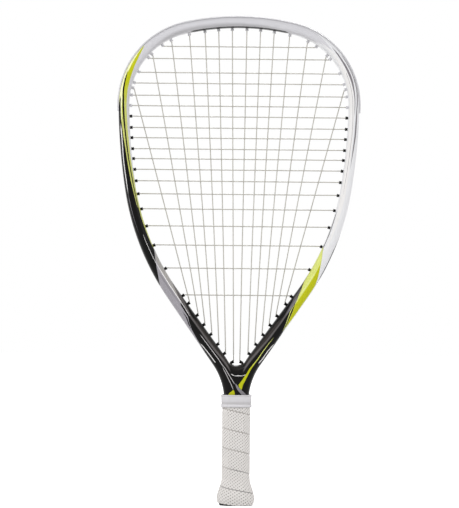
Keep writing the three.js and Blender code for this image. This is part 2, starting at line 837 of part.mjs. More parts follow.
// A ring round the shaft at a height.
const shaftRing = (height, clearance, overshoot = 0) => {
  const [halfX, halfY] = shaftAt(height, clearance);
  return octagon(halfX, halfY, height + overshoot, throatBevelShare * halfY);
};

// The band of tape that holds the grip's end, under the collar.
const bandClearance = fitGap + finishingTapeThickness;
const makeFinishingTape = () =>
  cut(loft([shaftRing(bandLow, bandClearance), shaftRing(bandHigh, bandClearance)]), [
    loft([
      shaftRing(bandLow, fitGap, -overrun),
      shaftRing(bandLow, fitGap),
      shaftRing(bandHigh, fitGap),
      shaftRing(bandHigh, fitGap, overrun),
    ]),
  ]);

// The rubber collar, with a rolled rim at each end. Its bore steps in from the grip to the
// band, which follows the shaft's taper.
function makeCollar() {
  const outer = (height, out) =>
    octagon(gripHalfWidth + collarWall + out, gripHalfDepth + collarWall + out, height);
  const rim = (end, way) =>
    collarRimShares.map((share, i) =>
      outer(end + way * share * collarRimHeight, i % 3 ? collarRim : 0),
    );
  const body = loft([...rim(collarBottom, 1), ...rim(collarTop, -1).reverse()]);
  const gripBore = loft(
    [collarBottom - overrun, bandLow].map((height) =>
      octagon(gripHalfWidth + fitGap, gripHalfDepth + fitGap, height),
    ),
  );
  const boreClearance = bandClearance + fitGap;
  const shaftBore = loft([
    shaftRing(bandLow, boreClearance, -overrun),
    shaftRing(bandLow, boreClearance),
    shaftRing(bandHigh, boreClearance),
    shaftRing(collarTop, boreClearance),
    shaftRing(collarTop, boreClearance, overrun),
  ]);
  return cut(body, [gripBore, shaftBore]);
}

// The pieces in their materials.

const finish = (color, roughness, metalness = 0) =>
  new THREE.MeshStandardMaterial({ color, roughness, metalness });
const lacquer = finish(0x1f1d1e, 0.25);
const whiteNylon = finish(0xdcdbdf, 0.4);
const blackNylon = finish(0x1a1919, 0.5);
const gut = finish(0xe2dfd2, 0.45);
const foam = finish(0xb9b2a4, 0.8);
const buttPlastic = finish(0x1b1b1c, 0.45);
const gripLeather = finish(0xd2cdca, 0.75);
const collarRubber = finish(0xe2e0e3, 0.55);
const vinyl = finish(0xf0f0f0, 0.4);
const steel = finish(0xb8bbc0, 0.35, 0.9);

const racket = new THREE.Group();

function addPiece(name, solid, material) {
  const mesh = solid.getMesh();
  const geometry = new THREE.BufferGeometry();
  const positions = new Float32Array(mesh.numVert * 3);
  for (let i = 0; i < mesh.numVert; i++)
    positions.set(mesh.vertProperties.subarray(i * mesh.numProp, i * mesh.numProp + 3), i * 3);
  geometry.setAttribute("position", new THREE.BufferAttribute(positions, 3));
  geometry.setIndex(new THREE.BufferAttribute(mesh.triVerts, 1));
  const piece = new THREE.Mesh(toCreasedNormals(geometry, radians(30)), material);
  piece.name = name;
  racket.add(piece);
}

const sideName = (side) => (side > 0 ? "right" : "left");
const faceName = (side) => (side > 0 ? "back" : "front");

addPiece("frame", makeFrame(), lacquer);
addPiece("throat_bridge", makeBridge(), lacquer);
addPiece("bumper_guard", makeBumper(), whiteNylon);
for (const side of [-1, 1]) {
  const sideStrip = makeStrip(side, bumperEnd + fitGap, sideStripEnd);
  addPiece("grommet_strip_" + sideName(side), sideStrip, blackNylon);
  const throatStrip = makeStrip(side, sideStripEnd + fitGap, throatStripEnd);
  addPiece("throat_grommet_strip_" + sideName(side), throatStrip, blackNylon);
}
addPiece("main_string", makeMainString(), gut);
addPiece("cross_string", makeCrossString(), gut);
for (const side of [-1, 1]) {
  addPiece("handle_pallet_" + faceName(side), makePallet(side), foam);
  addPiece("butt_staple_" + faceName(side), stapleBody(side, 0), steel);
}
addPiece("butt_cap", makeButtCap(), buttPlastic);
addPiece("grip_wrap", makeGripWrap(), gripLeather);
addPiece("finishing_tape", makeFinishingTape(), vinyl);
addPiece("grip_collar", makeCollar(), collarRubber);

export default racket;
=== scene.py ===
# %% [markdown]
# # A racquetball racket
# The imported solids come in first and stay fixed. Over them this script builds what the eye
# sees: the painted tube, the grommets, the woven strings and the wound grip. Lengths are in
# millimetres, as on a drawing, and only the last step of a piece turns them into metres.
# Up is +Z, the front face looks along -Y, and the middle of the butt is the origin.

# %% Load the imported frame
import json
import math
from collections import namedtuple

import bmesh
import bpy
import numpy as np
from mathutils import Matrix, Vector

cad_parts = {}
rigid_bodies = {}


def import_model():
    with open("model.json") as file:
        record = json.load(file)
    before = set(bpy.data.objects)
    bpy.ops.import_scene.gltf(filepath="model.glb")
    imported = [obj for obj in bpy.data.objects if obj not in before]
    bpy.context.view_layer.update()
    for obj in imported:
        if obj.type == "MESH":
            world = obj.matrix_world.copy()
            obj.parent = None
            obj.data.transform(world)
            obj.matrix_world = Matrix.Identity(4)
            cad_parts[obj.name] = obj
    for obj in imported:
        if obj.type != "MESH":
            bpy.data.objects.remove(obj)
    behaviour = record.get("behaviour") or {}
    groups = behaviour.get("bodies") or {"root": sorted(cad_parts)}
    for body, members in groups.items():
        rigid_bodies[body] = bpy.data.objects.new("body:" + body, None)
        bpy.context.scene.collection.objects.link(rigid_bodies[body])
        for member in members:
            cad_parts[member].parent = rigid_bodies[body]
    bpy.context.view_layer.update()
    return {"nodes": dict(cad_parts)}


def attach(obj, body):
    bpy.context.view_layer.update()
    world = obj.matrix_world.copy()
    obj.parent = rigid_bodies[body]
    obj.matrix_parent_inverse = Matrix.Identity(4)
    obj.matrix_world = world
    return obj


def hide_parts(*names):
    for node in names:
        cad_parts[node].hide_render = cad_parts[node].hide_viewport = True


for leftover in list(bpy.data.objects):
    bpy.data.objects.remove(leftover)
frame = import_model()

# %% [markdown]
# ## The line that everything hangs on
# A frame like this one is laid up round a mandrel whose outer edge is a chain of arcs. The
# chain starts in the middle of the crown and runs down one side to the handle, so any place
# on the racket is a distance along it, a distance out from it and a depth. All the pieces
# below are built on these three numbers, which is why they meet.

# %% The edge of the hoop
MM = 0.001
FIT = 0.3  # The gap between two pieces that are fitted together.
HALF_DEPTH, ROUNDNESS = 11.0, 2.6
SHAFT_TOP, SHAFT_END, SHAFT_HALF_WIDTH = 118.06, 14, 14.2
CORE_HALF_WIDTH, CORE_HALF_DEPTH = 11.0, 8.5
COLLAR_RISE, COLLAR_LENGTH, TAPE_UNDER_COLLAR = 8.2, 14.3, 4
COLLAR_TOP = SHAFT_TOP + COLLAR_RISE
TAPE_TOP = COLLAR_TOP - COLLAR_LENGTH + TAPE_UNDER_COLLAR
BAND_LOW = TAPE_TOP + FIT
THROAT_RADIUS = 74.6
# The radius and the turn in degrees of the crown, the shoulder, the side and the haunch.
ARCS = ((281.5, 13), (96, 78), (686, 8.2), (294, 25.5))
EdgePiece = namedtuple("EdgePiece", "x z heading radius begun length")
edge_chain = []


def end_of(piece, along):
    """The place and the heading at a distance along one piece of the edge."""
    x, z, heading, radius = piece[:4]
    if not radius:
        return x + along * math.cos(heading), z - along * math.sin(heading), heading
    end = heading + along / radius
    return (
        x + radius * (math.sin(end) - math.sin(heading)),
        z + radius * (math.cos(end) - math.cos(heading)),
        end,
    )


def add_to_edge(radius, amount):
    """Adds an arc that turns by an angle, or a straight of a length."""
    start, begun = (0, 0, 0), 0
    if edge_chain:
        last = edge_chain[-1]
        start, begun = end_of(last, last.length), last.begun + last.length
    length = abs(radius) * amount if radius else amount
    edge_chain.append(EdgePiece(*start, radius, begun, length))


for radius, degrees in ARCS:
    add_to_edge(radius, math.radians(degrees))
haunch = edge_chain[-1]
lean = math.radians(sum(degrees for _, degrees in ARCS) - 90)
across_arm = end_of(haunch, haunch.length)[0] - THROAT_RADIUS * (1 - math.cos(lean))
add_to_edge(0, (across_arm - SHAFT_HALF_WIDTH) / math.sin(lean))
add_to_edge(-THROAT_RADIUS, lean)
throat = edge_chain[-1]
HAUNCH_START, ARM_START, ARM_END = (piece.begun for piece in edge_chain[3:])
THROAT_END = ARM_END + throat.length
CROWN_HEIGHT = SHAFT_TOP - end_of(throat, throat.length)[1]
add_to_edge(0, SHAFT_TOP - SHAFT_END)
EDGE_END = THROAT_END + SHAFT_TOP - SHAFT_END
print("edge of one side mm:", round(EDGE_END, 1), "crown at", round(CROWN_HEIGHT, 2))

# %% Places on the racket
# The tube's width down to the haunch, at the top of the arm and at the throat.
TUBE_WIDTHS = (12.6, 14.8, 17)


def edge_at(distance):
    """The place and the heading of the right edge at a distance from the crown."""
    piece = [p for p in edge_chain if distance >= p.begun][-1]
    x, z, heading = end_of(piece, distance - piece.begun)
    return x, z + CROWN_HEIGHT, heading


def out_from_edge(distance, out):
    """A place out from the right edge, and the edge's heading there."""
    x, z, heading = edge_at(distance)
    return x + out * math.sin(heading), z + out * math.cos(heading), heading


def tube_width(distance):
    return float(np.interp(distance, (HAUNCH_START, ARM_START, ARM_END), TUBE_WIDTHS))


def drawn_in(distance):
    """How far the shaft has narrowed to pass through the pallets, from 0 to 1."""
    top = THROAT_END + SHAFT_TOP - COLLAR_TOP
    return min(max((distance - top) / (COLLAR_TOP - BAND_LOW), 0), 1)


def side_of(along):
    """The side, -1 for the left, and how far that is from the crown."""
    return (-1, -along) if along < 0 else (1, along)


def place(along, outward, depth, seam=0.0):
    """A point, with the left side at negative distances along the edge."""
    side, distance = side_of(along)
    x, z, heading = edge_at(distance)
    narrow = drawn_in(distance)
    x += outward * math.sin(heading) - narrow * (SHAFT_HALF_WIDTH - CORE_HALF_WIDTH)
    if distance > ARM_START:
        x = max(x, seam)
    depth *= 1 - narrow * (1 - CORE_HALF_DEPTH / HALF_DEPTH)
    return side * x, depth, z + outward * math.cos(heading)


def stations(start, end, step):
    """Places from start to end, as near to a step apart as comes out even."""
    count = max(1, round(abs(end - start) / step))
    return [start + (end - start) * i / count for i in range(count + 1)]


print("tube width at crown, arm and throat:", [tube_width(s) for s in (0, ARM_START, ARM_END)])

# %% [markdown]
# ## Making a mesh from rings
# Most of these pieces are a section carried along a line. The rings are joined by faces,
# coinciding points are merged, and the normals are turned outwards. A curve object with a
# bevel is quicker to draw, but its section can't change on the way, as the tube's does.
# Edges that bend more than a few tens of degrees are marked sharp, so that curves shade
# smoothly and corners stay.

# %% Mesh helpers
SHARP = math.radians(38)
WELD = 0.002 * MM


def put(name, data):
    """A new object in the scene, from a mesh, a curve, a lamp or a camera."""
    thing = bpy.data.objects.new(name, data)
    bpy.context.scene.collection.objects.link(thing)
    return thing


def finish_mesh(thing):
    """Merges coinciding points, turns the faces outwards and sets the shading."""
    work = bmesh.new()
    work.from_mesh(thing.data)
    bmesh.ops.remove_doubles(work, verts=work.verts, dist=WELD)
    bmesh.ops.recalc_face_normals(work, faces=work.faces)
    work.to_mesh(thing.data)
    work.free()
    thing.data.polygons.foreach_set("use_smooth", [True] * len(thing.data.polygons))
    thing.data.set_sharp_from_angle(angle=SHARP)
    return thing


def make_piece(name, points, faces, marks=None):
    """A piece from points in millimetres. marks gives each point its two paint numbers."""
    mesh = bpy.data.meshes.new(name)
    mesh.from_pydata([(x * MM, y * MM, z * MM) for x, y, z in points], [], faces)
    if marks is not None:
        layer = mesh.uv_layers.new(name="paint")
        for loop in mesh.loops:
            layer.data[loop.index].uv = marks[loop.vertex_index]
    return finish_mesh(put(name, mesh))


# %% Rings and outlines
def skin(rings, around=False):
    """The faces over a row of rings. around joins the last ring to the first."""
    count, rows = len(rings[0]), len(rings)
    faces = []
    for r in range(rows if around else rows - 1):
        low, high = r * count, (r + 1) % rows * count
        for i in range(count):
            j = (i + 1) % count
            faces.append((low + i, low + j, high + j, high + i))
    if not around:
        faces += [tuple(range(count)), tuple(range((rows - 1) * count, rows * count))]
    return faces


def loft(name, rings, around=False, marks=None):
    return make_piece(name, [p for ring in rings for p in ring], skin(rings, around), marks)


CORNER_SHARE = 0.45  # A curve takes up less than half of each side of its corner.


def round_corner(here, before, after, radius, steps):
    """The points of a short curve that takes the place of a corner."""
    back, on = before - here, after - here
    back_length, on_length = np.linalg.norm(back), np.linalg.norm(on)
    reach = min(radius, CORNER_SHARE * back_length, CORNER_SHARE * on_length)
    start, end = here + back / back_length * reach, here + on / on_length * reach
    return [
        (1 - t) ** 2 * start + 2 * t * (1 - t) * here + t * t * end
        for t in np.linspace(0, 1, steps + 1)
    ]


def round_off(corners, radius, steps=3):
    """A closed outline with each corner replaced by a short curve."""
    outline = []
    for i in range(len(corners)):
        near = [np.array(corners[j % len(corners)], float) for j in (i, i - 1, i + 1)]
        outline += [tuple(spot) for spot in round_corner(*near, radius, steps)]
    return outline


# %% Cutting and joining
def apply_boolean(thing, other, operation):
    """Cuts or trims a piece with another, which is then thrown away."""
    step = thing.modifiers.new("cut", "BOOLEAN")
    step.operation, step.solver, step.object = operation, "MANIFOLD", other
    seen = thing.evaluated_get(bpy.context.evaluated_depsgraph_get())
    result = bpy.data.meshes.new_from_object(seen)
    finishes = list(thing.data.materials)
    thing.modifiers.remove(step)
    thing.data = result
    result.materials.clear()
    for finish in finishes:
        result.materials.append(finish)
    result.polygons.foreach_set("material_index", [0] * len(result.polygons))
    bpy.data.objects.remove(other)
    return finish_mesh(thing)


def join_pieces(name, parts):
    """One object from several, in the order given."""
    work = bmesh.new()
    for part in parts:
        work.from_mesh(part.data)
    mesh = bpy.data.meshes.new(name)
    for material in parts[0].data.materials:
        mesh.materials.append(material)
    work.to_mesh(mesh)
    work.free()
    for part in parts:
        bpy.data.objects.remove(part)
    return put(name, mesh)


# %% [markdown]
# ## Nodes
# Shaders and Geometry Nodes are both built by one function. It adds a node, sets its
# properties and fills its sockets by name or number, with a value or with a link.

# %% Node helper
def add_node(tree, kind, sockets=None, **settings):
    made = tree.nodes.new(kind)
    for name, value in settings.items():
        setattr(made, name, value)
    for key, value in (sockets or {}).items():
        if isinstance(key, int):
            socket = made.inputs[key]
        else:
            socket = next(s for s in made.inputs if s.name == key and s.enabled)
        if isinstance(value, bpy.types.Node):
            value = next(s for s in value.outputs if s.enabled)
        if isinstance(value, bpy.types.NodeSocket):
            tree.links.new(value, socket)
        else:
            socket.default_value = value
    return made


def linear(hex_colour):
    """An sRGB hex value as the linear colour that Blender's nodes expect."""
    shares = [int(hex_colour[i : i + 2], 16) / 255 for i in (1, 3, 5)]
    return (*(c / 12.92 if c <= 0.04045 else ((c + 0.055) / 1.055) ** 2.4 for c in shares), 1.0)


def new_material(name, **surface):
    """A material with its shader's plain values set, and its tree and shader."""
    material = bpy.data.materials.new(name)
    material.use_nodes = True
    tree = material.node_tree
    shader = tree.nodes["Principled BSDF"]
    for key, value in surface.items():
        shader.inputs[key.replace("_", " ")].default_value = value
    return material, tree, shader


# %% [markdown]
# ## Paint
# The tube is carbon and glass in epoxy, sanded, sprayed white, masked and sprayed again in
# lime, black and silver, with a clear coat over it all. Each colour is a stripe between two
# lines that follow the tube. A stripe is drawn here as the painter would chalk it: at a few
# distances from the crown, how far across the tube it starts and stops, from 0 at the
# outer edge to 1 at the inner. Where the two meet, the stripe has run out. Masking leaves
# a sharp edge. A stripe that was misted on has a third entry after its marks, which is how
# far its edges fade. The same goes for the painted shade on the white and the painted
# highlights on the black, which are drawn as stripes too. An image wrapped round the tube
# could carry the same stripes, but it would blur close up, and here a line moves when one
# number is changed. The clear coat gives sharp highlights on a slightly wavy skin, which is
# what orange peel means.

# %% The stripes of the two sides
WHITE, LIME, PALE_LIME, CREAM = "#E8E8EA", "#C0C31C", "#DDE480", "#F8FAC6"
# The last grey on this line is a painted highlight on the black of the right arm.
BLACK, GRAPHITE, PAINTED_BRIGHT_HIGHLIGHT = "#080707", "#807C80", "#7E7B7F"
SILVER, SLATE, PEARL, LIGHT = "#A29FA5", "#88858A", "#ABA8A5", "#EEECEB"
# The last two greys here are painted highlights on the black arms: a narrow one and a broad, faint
# one.
TINSEL, PAINTED_HIGHLIGHT, PAINTED_BROAD_HIGHLIGHT = "#D2CFD0", "#625E5E", "#35312F"
# Two greys of painted shade on the white: a light one over the crown and the upper left, and a
# deeper one towards the inner edge.
PAINTED_LIGHT_SHADE, PAINTED_DEEP_SHADE = "#D2D1D5", "#BAB9BC"
RUBBED_LIME, WORN_LIME = "#C4C846", "#C8CC70"
PAINT_END = 700
LEFT_STRIPES = (
    # Painted shade: the white is greyed lightly, and more deeply towards the inner edge of the
    # crown.
    (PAINTED_LIGHT_SHADE, ((-120, 0.5, 0.5), (-90, 0.1, 0.95), (-60, 0, 1), (118, 0, 1), (160, 0.1, 1),
            (210, 0.6, 1), (240, 1, 1)), 0.05),
    (PAINTED_DEEP_SHADE, ((-60, 0.85, 0.85), (-45, 0.68, 0.98), (-28, 0.56, 1), (0, 0.48, 1), (28, 0.44, 1),
            (52, 0.42, 1), (80, 0.5, 1), (120, 0.8, 1), (135, 1, 1)), 0.26),
    (LIME, (
        (117, 0.12, 0.12), (124, 0.12, 0.30), (135, 0.12, 0.48), (149, 0.13, 0.62),
        (162, 0.17, 0.70), (175, 0.17, 0.73), (187, 0.17, 0.76), (210, 0.17, 0.75),
        (222, 0.17, 0.80), (233, 0.17, 0.84), (256, 0.17, 0.88), (280, 0.17, 0.96),
        (303, 0.17, 1), (368, 0.17, 1), (372, 1, 1))),
    (RUBBED_LIME, (
        (165, 0.6, 0.6), (178, 0.45, 0.74), (194, 0.17, 0.75), (222, 0.17, 0.80),
        (240, 0.17, 0.17))),
    (WORN_LIME, (
        (184, 0.6, 0.6), (200, 0.42, 0.74), (214, 0.17, 0.75), (222, 0.17, 0.80),
        (233, 0.17, 0.84), (256, 0.17, 0.88), (280, 0.17, 0.96), (303, 0.17, 1),
        (368, 0.17, 1), (372, 1, 1))),
    (CREAM, (
        (115, 0.06, 0.06), (118, 0.06, 0.08), (135, 0.06, 0.22), (149, 0.05, 0.27),
        (162, 0.05, 0.22), (175, 0.04, 0.27), (187, 0.04, 0.36), (199, 0.04, 0.32),
        (210, 0.10, 0.28), (218, 0.23, 0.23))),
    (BLACK, (
        (152, 0.20, 0.20), (162, 0.21, 0.34), (175, 0.27, 0.42), (187, 0.37, 0.53),
        (199, 0.39, 0.56), (210, 0.42, 0.58), (222, 0.49, 0.62), (233, 0.54, 0.67),
        (245, 0.59, 0.71), (256, 0.63, 0.74), (264, 0.69, 0.78), (274, 0.73, 0.82),
        (282, 0.75, 0.84), (292, 0.80, 0.88), (302, 0.83, 0.90), (316, 0.84, 0.90),
        (328, 0.89, 0.89))),
    (BLACK, (
        (183, 0.12, 0.12), (187, 0.12, 0.22), (199, 0.03, 0.23), (210, 0, 0.24),
        (222, 0, 0.33), (233, 0, 0.40), (245, 0, 0.49), (256, 0, 0.54), (264, 0, 0.57),
        (274, 0, 0.62), (282, 0, 0.65), (292, 0, 0.72), (302, 0, 0.77), (311, 0, 0.80),
        (320, 0, 0.88), (340, 0, 0.92), (360, 0, 0.95), (369, 0, 1), (PAINT_END, 0, 1))),
    # Painted highlight: a thin bright line in the outer part of the black band, which turns into a
    # dimmer grey further down.
    (LIGHT, (
        (214, 0.19, 0.19), (222, 0.15, 0.26), (233, 0.19, 0.29), (256, 0.17, 0.26),
        (280, 0.20, 0.29), (290, 0.21, 0.28), (300, 0.25, 0.25)), 0.02),
    (SILVER, (
        (290, 0.24, 0.24), (303, 0.21, 0.27), (320, 0.23, 0.28), (340, 0.28, 0.31),
        (352, 0.3, 0.3)), 0.03),
    (SILVER, (
        (368, 0.98, 0.98), (379, 0.73, 1), (386, 0.58, 1), (398, 0.31, 1), (403, 0.18, 1),
        (408, 0.05, 1), (411, 0, 1), (424, 0, 0.88), (432, 0, 0.80), (438, 0, 0.70),
        (441, 0, 0.54), (448, 0, 0.50), (456, 0, 0.48), (462, 0, 0.32), (470, 0, 0.18),
        (482, 0, 0.10), (498, 0, 0.04), (502, 0, 0))),
    # Painted shade: the middle of the silver wedge is darker.
    (SLATE, ((390, 0.46, 0.46), (398, 0.42, 0.62), (420, 0.44, 0.66), (438, 0.46, 0.62),
             (444, 0.5, 0.5)), 0.12),
    (PEARL, ((370, 0.97, 0.97), (379, 0.75, 1), (398, 0.72, 1), (410, 0.72, 1),
             (420, 0.72, 0.90), (428, 0.72, 0.84), (434, 0.72, 0.78), (438, 0.72, 0.72))),
    # Painted highlights along the middle of the left arm: a broad faint band, then a narrow
    # brighter one.
    (PAINTED_BROAD_HIGHLIGHT, ((450, 0.58, 0.58), (467, 0.56, 0.90), (500, 0.58, 0.94), (524, 0.68, 0.98),
             (534, 0.9, 0.9)), 0.12),
    (PAINTED_HIGHLIGHT, ((404, 1, 1), (408, 0.97, 1), (416, 0.90, 1), (424, 0.82, 1), (432, 0.70, 1),
             (444, 0.66, 0.88), (456, 0.56, 0.74), (467, 0.57, 0.73), (476, 0.58, 0.73),
             (492, 0.58, 0.75), (504, 0.60, 0.78), (516, 0.66, 0.84), (524, 0.71, 0.89),
             (530, 0.77, 0.88), (534, 0.83, 0.83)), 0.06),
    (BLACK, ((437, 0.59, 0.59), (441, 0.54, 0.61), (456, 0.48, 0.60), (464, 0.30, 0.50),
             (472, 0.2, 0.2))),
    (BLACK, ((446, 0.39, 0.39), (456, 0.31, 0.40), (464, 0.18, 0.26), (470, 0.14, 0.14))),
    (LIGHT, ((345, 0.60, 0.60), (352, 0.59, 0.62), (379, 0.62, 0.65), (390, 0.65, 0.70),
             (398, 0.66, 0.73), (420, 0.67, 0.74), (441, 0.66, 0.70), (452, 0.62, 0.66),
             (458, 0.61, 0.61))),
)
RIGHT_STRIPES = (
    # Painted light: the inner half of the white on the right side is brighter.
    (LIGHT, ((100, 0.6, 0.6), (150, 0.5, 0.9), (300, 0.5, 0.9), (360, 0.6, 0.7), (364, 0.7, 0.7))),
    (GRAPHITE, (
        (114, 0.30, 0.30), (124, 0.29, 0.40), (135, 0.31, 0.46), (152, 0.28, 0.48),
        (162, 0.28, 0.47), (172, 0.35, 0.47), (182, 0.38, 0.46), (197, 0.42, 0.48),
        (206, 0.44, 0.44))),
    (GRAPHITE, (
        (128, 0.12, 0.12), (135, 0.12, 0.18), (152, 0.11, 0.17), (172, 0.10, 0.18),
        (182, 0.14, 0.24), (197, 0.22, 0.31), (210, 0.21, 0.34), (228, 0.22, 0.36),
        (245, 0.32, 0.42), (258, 0.39, 0.43), (268, 0.42, 0.42))),
    (GRAPHITE, ((150, 0.60, 0.60), (152, 0.59, 0.62), (172, 0.63, 0.66), (197, 0.61, 0.64),
                (210, 0.57, 0.60), (228, 0.57, 0.60), (245, 0.63, 0.66), (262, 0.66, 0.69),
                (290, 0.71, 0.73), (300, 0.72, 0.72))),
    (BLACK, ((-60, 0.97, 0.97), (-55, 0.88, 1), (55, 0.88, 1), (60, 0.97, 0.97))),
    (BLACK, ((316, 0.90, 0.90), (322, 0.90, 0.95), (345, 0.90, 0.95), (362, 0.92, 0.96),
             (364, 0.94, 0.94))),
    (BLACK, ((338, 0.02, 0.02), (350, 0.01, 0.05), (362, 0.01, 0.09), (392, 0.01, 0.09),
             (402, 0.03, 0.05), (406, 0.03, 0.03))),
    (BLACK, (
        (388, 1, 1), (394, 0.93, 1), (410, 0.92, 1), (420, 0.82, 1), (434, 0.60, 1), (440, 0.48, 1),
        (447, 0.34, 1), (455, 0.24, 1), (460, 0.16, 1), (466, 0.10, 1), (474, 0.05, 1),
        (484, 0.02, 1), (492, 0, 1), (PAINT_END, 0, 1))),
    (LIME, (
        (362, 0.97, 0.97), (368, 0.84, 1), (373, 0.73, 1), (382, 0.53, 1), (390, 0.36, 1),
        (399, 0.18, 1), (406, 0.07, 0.98), (410, 0.05, 0.97), (420, 0.05, 0.82),
        (434, 0.05, 0.60), (440, 0.05, 0.48), (447, 0.05, 0.34), (455, 0.05, 0.24),
        (460, 0.06, 0.16), (467, 0.08, 0.08))),
    # The paler lime over the inner facet is partly a lighter lime and partly a painted highlight.
    (PALE_LIME, (
        (362, 0.98, 0.98), (368, 0.86, 1), (373, 0.74, 1), (382, 0.56, 1), (390, 0.54, 1),
        (399, 0.52, 0.98), (410, 0.52, 0.95), (420, 0.52, 0.82), (434, 0.50, 0.60),
        (440, 0.50, 0.50)), 0.03),
    (CREAM, ((386, 0.60, 0.60), (399, 0.60, 0.64), (420, 0.62, 0.66), (430, 0.6, 0.6)), 0.02),
    (PALE_LIME, ((436, 0.56, 0.56), (447, 0.46, 0.52), (460, 0.22, 0.27), (468, 0.12, 0.14),
                 (472, 0.1, 0.1))),
    # Painted highlights along the middle of the right arm: a broad faint band, then a narrow
    # brighter one.
    (PAINTED_BROAD_HIGHLIGHT, ((450, 0.60, 0.60), (467, 0.52, 0.88), (500, 0.54, 0.94), (524, 0.66, 0.96),
             (534, 0.9, 0.9)), 0.12),
    (PAINTED_HIGHLIGHT, ((414, 0.86, 0.86), (420, 0.76, 0.92), (432, 0.62, 0.90), (443, 0.52, 0.78),
             (454, 0.52, 0.70), (466, 0.50, 0.66), (474, 0.51, 0.67), (482, 0.51, 0.69),
             (490, 0.53, 0.70), (502, 0.59, 0.77), (512, 0.63, 0.82), (522, 0.68, 0.87),
             (530, 0.74, 0.86), (534, 0.8, 0.8)), 0.06),
    # Painted highlight: a brighter patch on the black of the right arm.
    (PAINTED_BRIGHT_HIGHLIGHT, ((428, 0.66, 0.66), (432, 0.58, 0.74), (443, 0.55, 0.72), (450, 0.56, 0.64),
           (458, 0.58, 0.58)), 0.03),
)

# %% [markdown]
# In the throat both arms run into the shaft, and the stripes cross from one to the other.
# There the chalk marks are heights above the butt, with where the stripe starts and stops
# from left to right.

# %% The stripes of the throat
THROAT_STRIPES = (
    (LIGHT, ((162.5, -24, -24), (163.5, -25.4, -24.1), (167.4, -28.3, -26.9),
             (176.5, -35.3, -33.9), (182, -39.9, -38.5), (184, -41.6, -40.9), (185, -42, -42))),
    (LIGHT, ((161.5, 24.4, 24.4), (163.5, 25.3, 26.8), (167.4, 28.6, 30.1), (172, 31.7, 33.2),
             (176.5, 34.7, 36.2), (182, 39.4, 40.8), (184, 41.5, 42.3), (185, 42.8, 42.8))),
    (TINSEL, ((138, -2, -2), (139.5, -3.1, -2.2), (144.5, -6.3, -5.3), (151.4, -10.7, -9.7),
              (155.9, -13.2, -12.2), (160.5, -17.1, -16.1), (167.4, -21.8, -20.7),
              (176.5, -28.7, -27.6), (185.7, -35.6, -34.6), (192.6, -40.9, -40.0),
              (196, -43, -43))),
    (TINSEL, ((132, -3.7, -3.7), (133, -4.4, -3.6), (137.6, -6.3, -5.3), (144.5, -9.7, -8.8),
              (151.4, -13.2, -12.2), (155.9, -15.5, -14.7), (160, -16.8, -16.8))),
    (SLATE, ((124, 7.6, 13.8), (126, 6.0, 12.2), (129, 3.6, 9.0), (131, 1.8, 6.8),
             (133, 0.6, 4.6), (135, -0.5, 2.6), (138, -1.4, 0.6), (139.6, -1.8, -1.8))),
    (LIME, ((131.8, 5.6, 5.6), (133.2, 4.4, 6.4), (135, 2.7, 6.8), (138, 2.2, 7.6),
            (140, 3.9, 8.7), (144.5, 7.1, 11.0), (151.4, 11.6, 14.4), (155.9, 14.2, 16.7),
            (160.5, 17.8, 19.9), (167.4, 23.4, 24.9), (176.5, 29.7, 30.7), (185.7, 36.5, 37.1),
            (189, 39.4, 39.4))),
    (PALE_LIME, ((155, 14.8, 14.8), (160.5, 18.4, 19.2), (167.4, 23.6, 24.6), (176.5, 29.6, 30.8),
                 (185.7, 36.4, 37.3), (191, 41, 41.5), (193, 42.6, 42.6))),
    (LIME, ((124, -11.6, -1.2), (126, -10.0, -1.5), (129, -7.4, -1.9), (131, -4.7, -2.6),
            (132.2, -3.6, -3.6))),
    (LIGHT, ((147.6, 2, 2), (147.8, -2, 6.4), (148.3, -3.4, 8.4), (148.5, 2, 2))),
    (LIGHT, ((148.2, -3.2, -3.2), (148.5, -4.6, -2.4), (150, -6.6, -5.4), (150.3, -6.4, -6.4))),
    (LIGHT, ((148.2, 7.6, 7.6), (148.5, 7.0, 9.4), (149.3, 9, 10.4), (149.6, 10.2, 10.2))),
)
THROAT_HALF_SPAN = 50
stripe_count = sum(len(group) for group in (LEFT_STRIPES, RIGHT_STRIPES, THROAT_STRIPES))
print("stripes:", stripe_count)


# %% Painting one stripe
MASKED_EDGE = 0.003


def draw_curve(node, spots):
    """Draws straight lines through the spots on a Float Curve."""
    curve = node.mapping.curves[0]
    for point, spot in zip((curve.points[0], curve.points[-1]), (spots[0], spots[-1])):
        point.location = spot
    for spot in spots[1:-1]:
        curve.points.new(*spot)
    for point in curve.points:
        point.handle_type = "VECTOR"
    node.mapping.update()


def paint_stripe(tree, under, along, across, stripe):
    """Paints one stripe over a colour, between two lines drawn by curves."""
    # A stripe without a third entry gets the edge that masking leaves.
    colour, marks, blur = (*stripe, MASKED_EDGE)[:3]
    first, last = marks[0][0], marks[-1][0]
    share = add_node(tree, "ShaderNodeMapRange", {0: along, 1: first, 2: last})
    inside = []
    for column in (1, 2):
        line = add_node(tree, "ShaderNodeFloatCurve", {"Value": share})
        draw_curve(line, [((m[0] - first) / (last - first), m[column]) for m in marks])
        pair = {0: across, 1: line} if column == 1 else {0: line, 1: across}
        gap = add_node(tree, "ShaderNodeMath", pair, operation="SUBTRACT")
        inside.append(add_node(tree, "ShaderNodeMapRange", {0: gap, 1: 0.0, 2: blur}))
    both = add_node(tree, "ShaderNodeMath", {0: inside[0], 1: inside[1]}, operation="MULTIPLY")
    return add_node(
        tree, "ShaderNodeMix", {"Factor": both, "A": under, "B": linear(colour)}, data_type="RGBA"
    )


def as_shares(stripe):
    """A throat stripe with its places across the racket as shares of the span."""
    colour, marks = stripe
    span = 2 * THROAT_HALF_SPAN
    return colour, [
        (z, (left + THROAT_HALF_SPAN) / span, (right + THROAT_HALF_SPAN) / span)
        for z, left, right in marks
    ]


